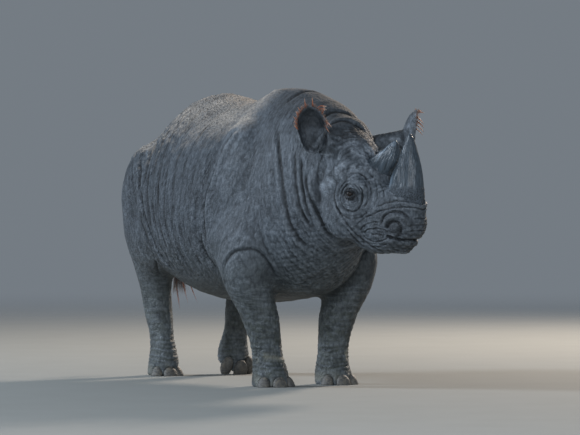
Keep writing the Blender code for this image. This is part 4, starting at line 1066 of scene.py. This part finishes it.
# Node, base (along, up), lean back off the face, height of the rough root.
HORNS = (("horn_front", (0.252, 0.112), FACE_SLOPE, 0.045), ("horn_rear", (0.010, 0.138), 0.0, 0.020))
for name, base, lean, rough_root in HORNS:
    horn = evened(copy_of(name, f"{name}_of_fibre"), HORN_GRAIN)
    horn.name = horn.data.name = f"{name}_of_fibre"
    rounded_off(horn, 24, 0.5)
    divided(horn, np.ones(len(horn.data.polygons), bool))
    points, normals = places(horn.data), facings(horn.data)
    turn = np.array(FACE_TURN @ Matrix.Rotation(-lean, 3, "Y"))
    root = np.array(FACE @ Vector((base[0], 0, base[1])))
    own = (points - root) @ turn
    tall = own[:, 2]
    wide = np.hypot(own[:, 0], own[:, 1])
    fibre = np.stack([own[:, 0] * (1 + 0.15 * tall), own[:, 1], tall * 0.035], axis=1)
    low = 1 - rise(tall + 0.012 * cloud(points, 0.02, 31), rough_root * 0.5, rough_root * 1.5)
    ridge = cloud(fibre, 0.0055, 32) * 0.0010 + cloud(fibre, 0.014, 33) * 0.0018
    ring = 0.0010 * np.sin(tall / 0.0065 + 3 * cloud(points, 0.05, 34)) * low
    frill = 0.0028 * cloud(points, 0.010, 35) * low + 0.0030 * low
    move = ridge * (1 - 0.4 * low) * rise(wide, 0.004, 0.015) + ring + frill
    wear_and_highlight = np.zeros(len(points))
    if name == "horn_front":
        # rubbed hollow low on each side of its rear edge
        rearward = rise((0.5 * np.abs(own[:, 1]) - 0.85 * own[:, 0]) / (wide + 1e-9), 0.4, 0.9)
        move += 0.015 * rearward * np.exp(-((tall - 0.080) / 0.050) ** 2)
        for sign in (-1, 1):
            off = (own - np.array(WORN_AT) * (1, sign, 1)) / np.array(WORN_REACH)
            rub = np.exp(-(off ** 2).sum(axis=1))
            move -= 0.003 * rub
            wear_and_highlight = np.maximum(wear_and_highlight, 0.9 * rub)
    else:
        # rubbed flat on both sides, to an edge in front and a slanting top
        middle_x = np.interp(tall, (0.010, 0.060, 0.105, 0.180), (-0.008, 0.024, 0.042, 0.038))
        corner = np.arctan2(own[:, 1] / 0.046, (own[:, 0] - middle_x) / 0.068)
        square = 0.91 / (np.abs(np.cos(corner)) ** 4 + np.abs(np.sin(corner)) ** 4) ** 0.25
        square = 1 + (square - 1) * rise(tall, 0.0, 0.04)
        points += np.outer((own[:, 0] - middle_x) * (square - 1), turn[:, 0])
        points += np.outer(own[:, 1] * (square - 1), turn[:, 1])
        flat = rise(np.abs(normals @ turn[:, 1]), 0.55, 0.85) * rise(tall, 0.01, 0.05)
        # pale on the flat sides: rubbed horn, and a painted highlight
        wear_and_highlight = flat * 0.35 * rise(cloud(fibre, 0.016, 36), 0.1, 0.6)
    points = points + normals * move[:, None]
    place(horn.data, points)
    save_value(horn, "root", low)
    save_value(horn, "wear_and_highlight", wear_and_highlight)
    layer = horn.data.attributes.new("fibre", "FLOAT_VECTOR", "POINT")
    layer.data.foreach_set("vector", fibre.astype(np.float32).ravel())
    alone(horn)
    bpy.ops.object.shade_smooth()
    horn.data.materials.clear()
    horn.data.materials.append(horn_finish)
    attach(horn, "root")
    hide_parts(name)

# ---- The hoof nails -------------------------------------------------------------------------------------
# Three nails to a foot, of dull horn with fine growth lines round them, chipped and dusty at the ground. They
# stand round the front of the foot, and the skin grows down to their upper edge.
NAIL_GRAIN = 0.0035
GROWTH_LINE = 0.0016  # a line and its gap take 2 pi times this
# Hoof horn, never polished: growth lines of 3 to 4 mm, drawn coarser than life, and dried soil in them.
nail_finish = new_finish("dull_hoof_horn")
where = add_node(nail_finish, "TexCoord").outputs["Object"]
flat = add_node(nail_finish, "Mapping", inputs={"Scale": (0.25, 0.25, 1.0)},
                links={"Vector": where}).outputs["Vector"]
growth, dirt = (
    add_node(nail_finish, "TexNoise", inputs={"Scale": 1 / size, "Detail": detail},
             links={"Vector": follows}).outputs["Fac"]
    for size, detail, follows in ((0.0035, 3.0, flat), (0.020, 4.0, where)))
tone = add_node(nail_finish, "ValToRGB", links={"Fac": growth})
for stop, (spot, colour) in zip(tone.color_ramp.elements, ((0.30, "#3f4040"), (0.75, "#77746e"))):
    stop.position, stop.color = spot, shade(colour)
soil = add_node(nail_finish, "MapRange", inputs={"From Min": 0.50, "From Max": 0.72, "To Max": 0.6},
                links={"Value": dirt}).outputs["Result"]
tint = add_node(nail_finish, "Mix", {"data_type": "RGBA"}, {"B": shade("#8a8273")},
                {"Factor": soil, "A": tone.outputs["Color"]}).outputs["Result"]
bump = add_node(nail_finish, "Bump", inputs={"Strength": 0.5, "Distance": 0.001},
                links={"Height": growth}).outputs["Normal"]
shader = add_node(nail_finish, "BsdfPrincipled", inputs={"Roughness": 0.6, "IOR": 1.54},
                  links={"Base Color": tint, "Normal": bump})
add_node(nail_finish, "OutputMaterial", links={"Surface": shader.outputs["BSDF"]})
for foot in ("foreleg_left", "foreleg_right", "hindleg_left", "hindleg_right"):
    names = [f"nail_{foot}_{which}" for which in ("inner", "middle", "outer")]
    shells = []
    for name in names:
        shell = evened(copy_of(name, f"{name}_shell"), NAIL_GRAIN)
        rounded_off(shell, 14, 0.5)
        points, normals = places(shell.data), facings(shell.data)
        lines = np.sin(points[:, 2] / GROWTH_LINE + 2.5 * cloud(points, 0.03, 41))
        move = 0.0004 * lines + 0.0012 * cloud(points, 0.012, 42) * (1 - rise(points[:, 2], 0.0, 0.03))
        points += normals * move[:, None]
        points[:, 2] = np.maximum(points[:, 2], 0.0)
        place(shell.data, points)
        shells.append(shell)
    nails = joined(shells, f"nails_{foot}")
    nails.data.name = nails.name
    alone(nails)
    bpy.ops.object.shade_smooth()
    nails.data.materials.clear()
    nails.data.materials.append(nail_finish)
    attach(nails, "root")
    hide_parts(*names)

# ---- The hair of the ears and the tail --------------------------------------------------------------------
# Stiff bristles, the only long hair that the animal has: a fringe round each ear's rim, rust red, with
# painted light coming through it and a painted highlight at its tips, and two combs of dark bristles down the
# tail's end.
FRINGE_BRISTLES, TAIL_BRISTLES = 300, 260
LOCK_BRISTLES = 11
# Coarse keratin hair, dark at the root: the ears' turns rust red towards the tip, partly painted light, the
# tail's pale brown.
hair_finish = new_finish("rusty_bristle")
share, kind = (add_node(hair_finish, "Attribute", {"attribute_name": mark}).outputs["Fac"]
               for mark in ("tip", "kind"))
red, brown = (add_node(hair_finish, "ValToRGB", links={"Fac": share}) for _ in range(2))
for ramp, low, high, full in ((red, "#5a3122", "#c46a3a", 0.55), (brown, "#1e1a19", "#8f7a6c", 1.0)):
    for stop, spot, colour in zip(ramp.color_ramp.elements, (0.0, full), (low, high)):
        stop.position, stop.color = spot, shade(colour)
# a painted highlight at the very tips of the ears' bristles
red.color_ramp.elements.new(0.95).color = shade("#e8b48c")
links = {"Factor": kind, "A": brown.outputs["Color"], "B": red.outputs["Color"]}
tint = add_node(hair_finish, "Mix", {"data_type": "RGBA"}, links=links).outputs["Result"]
shader = add_node(hair_finish, "BsdfPrincipled", inputs={"Roughness": 0.5, "IOR": 1.55, "Sheen Weight": 0.3},
                  links={"Base Color": tint})
add_node(hair_finish, "OutputMaterial", links={"Surface": shader.outputs["BSDF"]})


def bristles(title, strands, pale=1.0):
    """One mesh of tapered three-sided bristles: each is (points, thickness, place on the unwrap, how red)."""
    verts, faces, maps, tips, kinds = [], [], [], [], []
    for path, thick, spot, redness in strands:
        first, count = len(verts), len(path)
        for i, centre in enumerate(path):
            share = i / (count - 1)
            ahead = path[min(i + 1, count - 1)] - path[max(i - 1, 0)]
            ahead = ahead / (np.linalg.norm(ahead) + 1e-9)
            aside = np.cross(ahead, np.array([0.31, 0.84, 0.44]))
            aside /= np.linalg.norm(aside) + 1e-9
            other = np.cross(ahead, aside)
            radius = thick * (1 - 0.85 * share ** 1.5)
            for k in range(3):
                turn = 2 * math.pi * k / 3
                verts.append(centre + radius * (math.cos(turn) * aside + math.sin(turn) * other))
                maps.append((spot[0] + 0.0012 * math.cos(turn), spot[1] + 0.0024 * (share - 0.5)))
                tips.append(pale * share)
                kinds.append(redness)
        for i in range(count - 1):
            for k in range(3):
                a, b = first + 3 * i + k, first + 3 * i + (k + 1) % 3
                faces.append((a, b, b + 3, a + 3))
        last = first + 3 * (count - 1)
        faces += [(first + 2, first + 1, first), (last, last + 1, last + 2)]
    piece = piece_from(title, [tuple(v) for v in verts], faces)
    mesh = piece.data
    layer = mesh.uv_layers.new(name="OFBake")
    corners = np.empty(len(mesh.loops), np.int32)
    mesh.loops.foreach_get("vertex_index", corners)
    layer.data.foreach_set("uv", np.array(maps, np.float32)[corners].ravel())
    save_value(piece, "tip", np.array(tips))
    save_value(piece, "kind", np.array(kinds))
    bpy.ops.object.mode_set(mode="EDIT")
    bpy.ops.mesh.select_all(action="SELECT")
    bpy.ops.mesh.normals_make_consistent(inside=False)
    bpy.ops.object.mode_set(mode="OBJECT")
    bpy.ops.object.shade_smooth()
    mesh.materials.append(hair_finish)
    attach(piece, "root")
    return piece


def bent(root, heading, pull, length, steps=6):
    """A bristle that leaves along heading and is drawn over by pull."""
    path, spot, way = [np.array(root)], np.array(root), np.array(heading, float)
    for _ in range(steps):
        way = way / np.linalg.norm(way) + np.array(pull) / steps
        spot = spot + way / np.linalg.norm(way) * length / steps
        path.append(spot)
    return path


def rim_place(side, share, turn):
    """A place on an ear's rim and the way out, by share of the ear's length and degrees from the back."""
    foot, points_to, opens, across = (np.array(axis) for axis in ear_axes(side))
    half_width, _ = cup_at(share)
    turn = math.radians(turn)
    back = -math.cos(turn) * EAR_FLATNESS[side] * half_width
    spot = foot + points_to * (share * EAR_LENGTH[side])
    spot = spot + opens * back + across * (math.sin(turn) * half_width)
    return spot, across * math.sin(turn) - opens * math.cos(turn)


def lock(root, heading, pull, length, width, spot, redness):
    """Bristles that stand close together and run to one point."""
    middle = bent(root, heading, pull, length, 6)
    strands = []
    for _ in range(LOCK_BRISTLES):
        offset, reach = rng.normal(0, 0.5, 3) * width, rng.uniform(0.8, 1.1)
        path = [middle[0] + (step - middle[0]) * reach + offset * (1 - 0.85 * i / 6)
                for i, step in enumerate(middle)]
        strands.append((path, 0.0012, spot, redness + rng.uniform(-0.08, 0.08)))
    return strands


# Locks that stand out of each fringe: share of the ear's length, which margin, the way that it leaves and the
# pull that bends it (aside to the animal's left, up, and forward), length in mm, and how red.
LOCKS = {
    "right": (
        (0.97, "outer", (-0.3, 1.0, 0.0), (0.1, 0.3, 0.0), 46, 0.9),
        (0.99, "inner", (0.1, 1.0, 0.1), (-0.5, 0.2, 0.0), 44, 0.9),
        (0.93, "inner", (0.2, 1.0, 0.2), (1.4, -1.6, 0.2), 58, 1.0),
        (0.90, "inner", (0.4, 1.0, 0.2), (1.2, -1.8, 0.2), 50, 0.9),
        (0.82, "inner", (0.6, 0.7, 0.1), (-0.2, 0.8, 0.0), 40, 0.8),
        (0.72, "inner", (1.0, -0.6, 0.2), (0.3, -0.5, 0.0), 66, 1.0),
        (0.70, "inner", (1.0, -0.8, 0.1), (0.2, -0.6, 0.0), 50, 0.9),
        (0.58, "inner", (0.6, -0.8, 0.3), (0.2, -0.4, 0.0), 44, 1.2),
        (0.88, "outer", (-0.9, 0.6, 0.0), (0.3, 0.3, 0.0), 34, 0.9),
        (0.82, "outer", (-0.9, 0.5, 0.0), (-0.1, 0.6, 0.0), 30, 0.9),
        (0.72, "outer", (-1.0, 0.4, 0.0), (0.0, 0.3, 0.0), 40, 1.2),
        (0.63, "outer", (-0.8, 0.7, 0.0), (0.0, 0.2, 0.0), 28, 1.1),
        (0.54, "outer", (-0.9, 0.6, 0.0), (0.0, 0.2, 0.0), 34, 1.1),
    ),
    "left": (
        (0.99, "outer", (1.0, 0.3, 0.2), (0.0, -0.5, 0.0), 30, 0.9),
        (0.97, "inner", (1.0, 0.2, 0.4), (0.0, -0.5, 0.0), 34, 0.9),
        (0.92, "outer", (0.9, -0.4, 0.2), (0.2, -0.5, 0.0), 28, 1.1),
        (0.84, "outer", (1.0, -0.1, 0.1), (0.0, 0.4, 0.0), 42, 1.1),
        (0.80, "outer", (1.0, -0.3, 0.1), (0.0, -0.2, 0.0), 30, 0.9),
        (0.70, "outer", (0.9, -0.6, 0.1), (0.0, -0.4, 0.0), 24, 1.1),
        (0.60, "outer", (0.9, -0.6, 0.1), (0.0, -0.4, 0.0), 24, 1.1),
        (0.50, "outer", (0.8, -0.7, 0.1), (0.0, -0.4, 0.0), 22, 1.1),
        (0.86, "inner", (0.7, -0.5, 0.7), (0.4, -0.9, 0.0), 48, 0.7),
        (0.78, "inner", (0.7, -0.5, 0.7), (0.4, -0.9, 0.0), 52, 0.6),
        (0.70, "inner", (0.7, -0.5, 0.7), (0.4, -0.9, 0.0), 54, 0.7),
        (0.62, "inner", (0.7, -0.5, 0.7), (0.4, -0.9, 0.0), 52, 0.6),
    ),
}
rng = np.random.default_rng(5)
level_head = FACE_TURN @ Matrix.Rotation(-FACE_SLOPE, 3, "Y")
axes = np.array([level_head @ Vector(way) for way in ((0, 1, 0), (0, 0, 1), (1, 0, 0))])


def margin_turn(side, inner):
    """Which way round the cup the inner or the outer margin lies."""
    return 1 if inner == (side == "right") else -1


def unwrap_at(side, share, inner):
    """Where a bristle of an ear's rim lies on the unwrap."""
    return 0.25 + 0.5 * (side == "left") + (0.18 if inner else -0.18), 0.1 + 0.8 * share


for side in SIDES:
    strands = []
    for share, margin, way, pull, length, redness in LOCKS[side]:
        inner = margin == "inner"
        root, outward = rim_place(side, share, cup_at(share)[1] * margin_turn(side, inner) * 0.97)
        heading, pull = np.array(way) @ axes, np.array(pull) @ axes
        start, at = root - 0.002 * outward, unwrap_at(side, share, inner)
        strands += lock(start, heading, pull, length * 0.001, 0.0045, at, redness)
    # the short rough fringe between them
    for _ in range(FRINGE_BRISTLES):
        inner, share = rng.random() < 0.4, rng.uniform(0.42, 1.0) ** 0.7
        angle = cup_at(share)[1] * rng.uniform(0.90, 1.0)
        root, outward = rim_place(side, share, angle * margin_turn(side, inner))
        heading = outward * (1.0 - 0.4 * share) + np.array(ear_axes(side)[1]) * 0.7 + rng.normal(0, 0.35, 3)
        path = bent(root - 0.002 * outward, heading, rng.normal(0, 0.5, 3), rng.uniform(0.010, 0.026), 4)
        strands.append((path, 0.0011, unwrap_at(side, share, inner), rng.uniform(0.0, 0.6)))
    bristles(f"ear_fringe_{side}", strands)

# The tail's end: two combs of dark bristles, with a few locks of pale red among them.
tail_low, tail_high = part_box("tail_tuft")
middle_x, middle_y = (tail_low.x + tail_high.x) / 2, (tail_low.y + tail_high.y) / 2
strands = []
for i in range(TAIL_BRISTLES):
    comb = rng.choice((-1, 1))
    drop = rng.uniform(0, 1)
    top = np.array([middle_x - 0.004 + rng.normal(0, 0.006),
                    middle_y - 0.004 + comb * rng.uniform(0.004, 0.017),
                    tail_high.z + 0.045 - 0.055 * drop])
    heading = np.array([rng.normal(0.03, 0.10), comb * rng.uniform(0.0, 0.28), -1.0])
    length = rng.uniform(0.13, 0.21) * (1.0 - 0.15 * drop)
    pull = (rng.normal(0.02, 0.06), rng.normal(0, 0.08) - comb * 0.10, -0.3)
    path = bent(top, heading, pull, length, 7)
    at = (0.5 + 0.2 * comb, 0.4 + 0.2 * drop)
    strands.append((path, 0.0013, at, rng.uniform(0.0, 0.08)))
    if i % 90 == 0:
        strands += lock(top, heading, (0.15, 0.30, -0.2), 0.25, 0.003, at, 0.95)
tuft = bristles("tail_bristles", strands, pale=0.45)
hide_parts("tail_tuft")

# ---- Floor, light and camera -------------------------------------------------------------------------------
# The floor is a pale matt disc that melts into the backdrop before its edge. A warm light stands behind the
# animal on its left, a broad cool one on its right, and a weak broad one in front.
FLOOR_RADIUS = 17.0
bpy.ops.object.select_all(action="DESELECT")
bpy.ops.mesh.primitive_circle_add(vertices=96, radius=FLOOR_RADIUS, fill_type="NGON", location=(0, 0, 0))
floor = bpy.context.object
floor.name = "floor"
floor_finish = new_finish("pale_studio_floor")
where = add_node(floor_finish, "TexCoord").outputs["Object"]
speckle = add_node(floor_finish, "TexNoise", inputs={"Scale": 3.0, "Detail": 4.0},
                   links={"Vector": where}).outputs["Fac"]
tone = add_node(floor_finish, "ValToRGB", links={"Fac": speckle})
tone.color_ramp.elements[0].color, tone.color_ramp.elements[1].color = shade("#969792"), shade("#9e9f9b")
shader = add_node(floor_finish, "BsdfPrincipled", inputs={"Roughness": 0.85},
                  links={"Base Color": tone.outputs["Color"]})
away = add_node(floor_finish, "VectorMath", {"operation": "LENGTH"}, links={0: where}).outputs["Value"]
faded = add_node(floor_finish, "MapRange", {"interpolation_type": "SMOOTHSTEP"},
                 {"From Min": 3.0, "From Max": FLOOR_RADIUS - 1.0}, {"Value": away}).outputs["Result"]
clear = add_node(floor_finish, "BsdfTransparent").outputs["BSDF"]
surface = add_node(floor_finish, "MixShader",
                   links={0: faded, 1: shader.outputs["BSDF"], 2: clear}).outputs["Shader"]
add_node(floor_finish, "OutputMaterial", links={"Surface": surface})
floor.data.materials.append(floor_finish)

world = bpy.data.worlds.new("studio")
world.use_nodes = True
backdrop = world.node_tree.nodes["Background"]
backdrop.inputs["Color"].default_value = shade("#b4bfca")
backdrop.inputs["Strength"].default_value = 0.385
bpy.context.scene.world = world


def soft_light(name, spot, towards, size, power, colour):
    lamp = bpy.data.lights.new(name, "AREA")
    lamp.size, lamp.energy, lamp.color = size, power, shade(colour)[:3]
    holder = bpy.data.objects.new(name, lamp)
    holder.location = spot
    holder.rotation_euler = (Vector(towards) - Vector(spot)).to_track_quat("-Z", "Y").to_euler()
    bpy.context.scene.collection.objects.link(holder)


soft_light("key", (-5.0, 7.2, 5.0), (0, 0, 0.9), 1.3, 780, "#ffeedd")
soft_light("sky", (-4.2, -7.6, 5.2), (0, 0, 0.9), 2.2, 700, "#dbe7f5")
soft_light("front", (8.0, -4.5, 3.2), (0.5, 0, 0.6), 3.0, 300, "#e4ecf6")

# A long lens 26 m away, from ahead of the right shoulder, almost level.
CAMERA_AZIMUTH, CAMERA_RISE = math.radians(65), math.radians(0.9)
CAMERA_AWAY = 26.0
CAMERA_AIM = Vector((0.061, 0.092, 0.866))
level = math.cos(CAMERA_RISE)
lens_side = Vector((math.sin(CAMERA_AZIMUTH) * level, -math.cos(CAMERA_AZIMUTH) * level,
                    math.sin(CAMERA_RISE)))
lens = bpy.data.cameras.new("camera")
lens.sensor_width, lens.lens = 36.0, 306.6
lens.clip_end = 200.0
camera = bpy.data.objects.new("camera", lens)
camera.location = CAMERA_AIM + lens_side * CAMERA_AWAY
camera.rotation_euler = (-lens_side).to_track_quat("-Z", "Y").to_euler()
bpy.context.scene.collection.objects.link(camera)
bpy.context.scene.camera = camera
bpy.context.scene.view_settings.view_transform = "Standard"
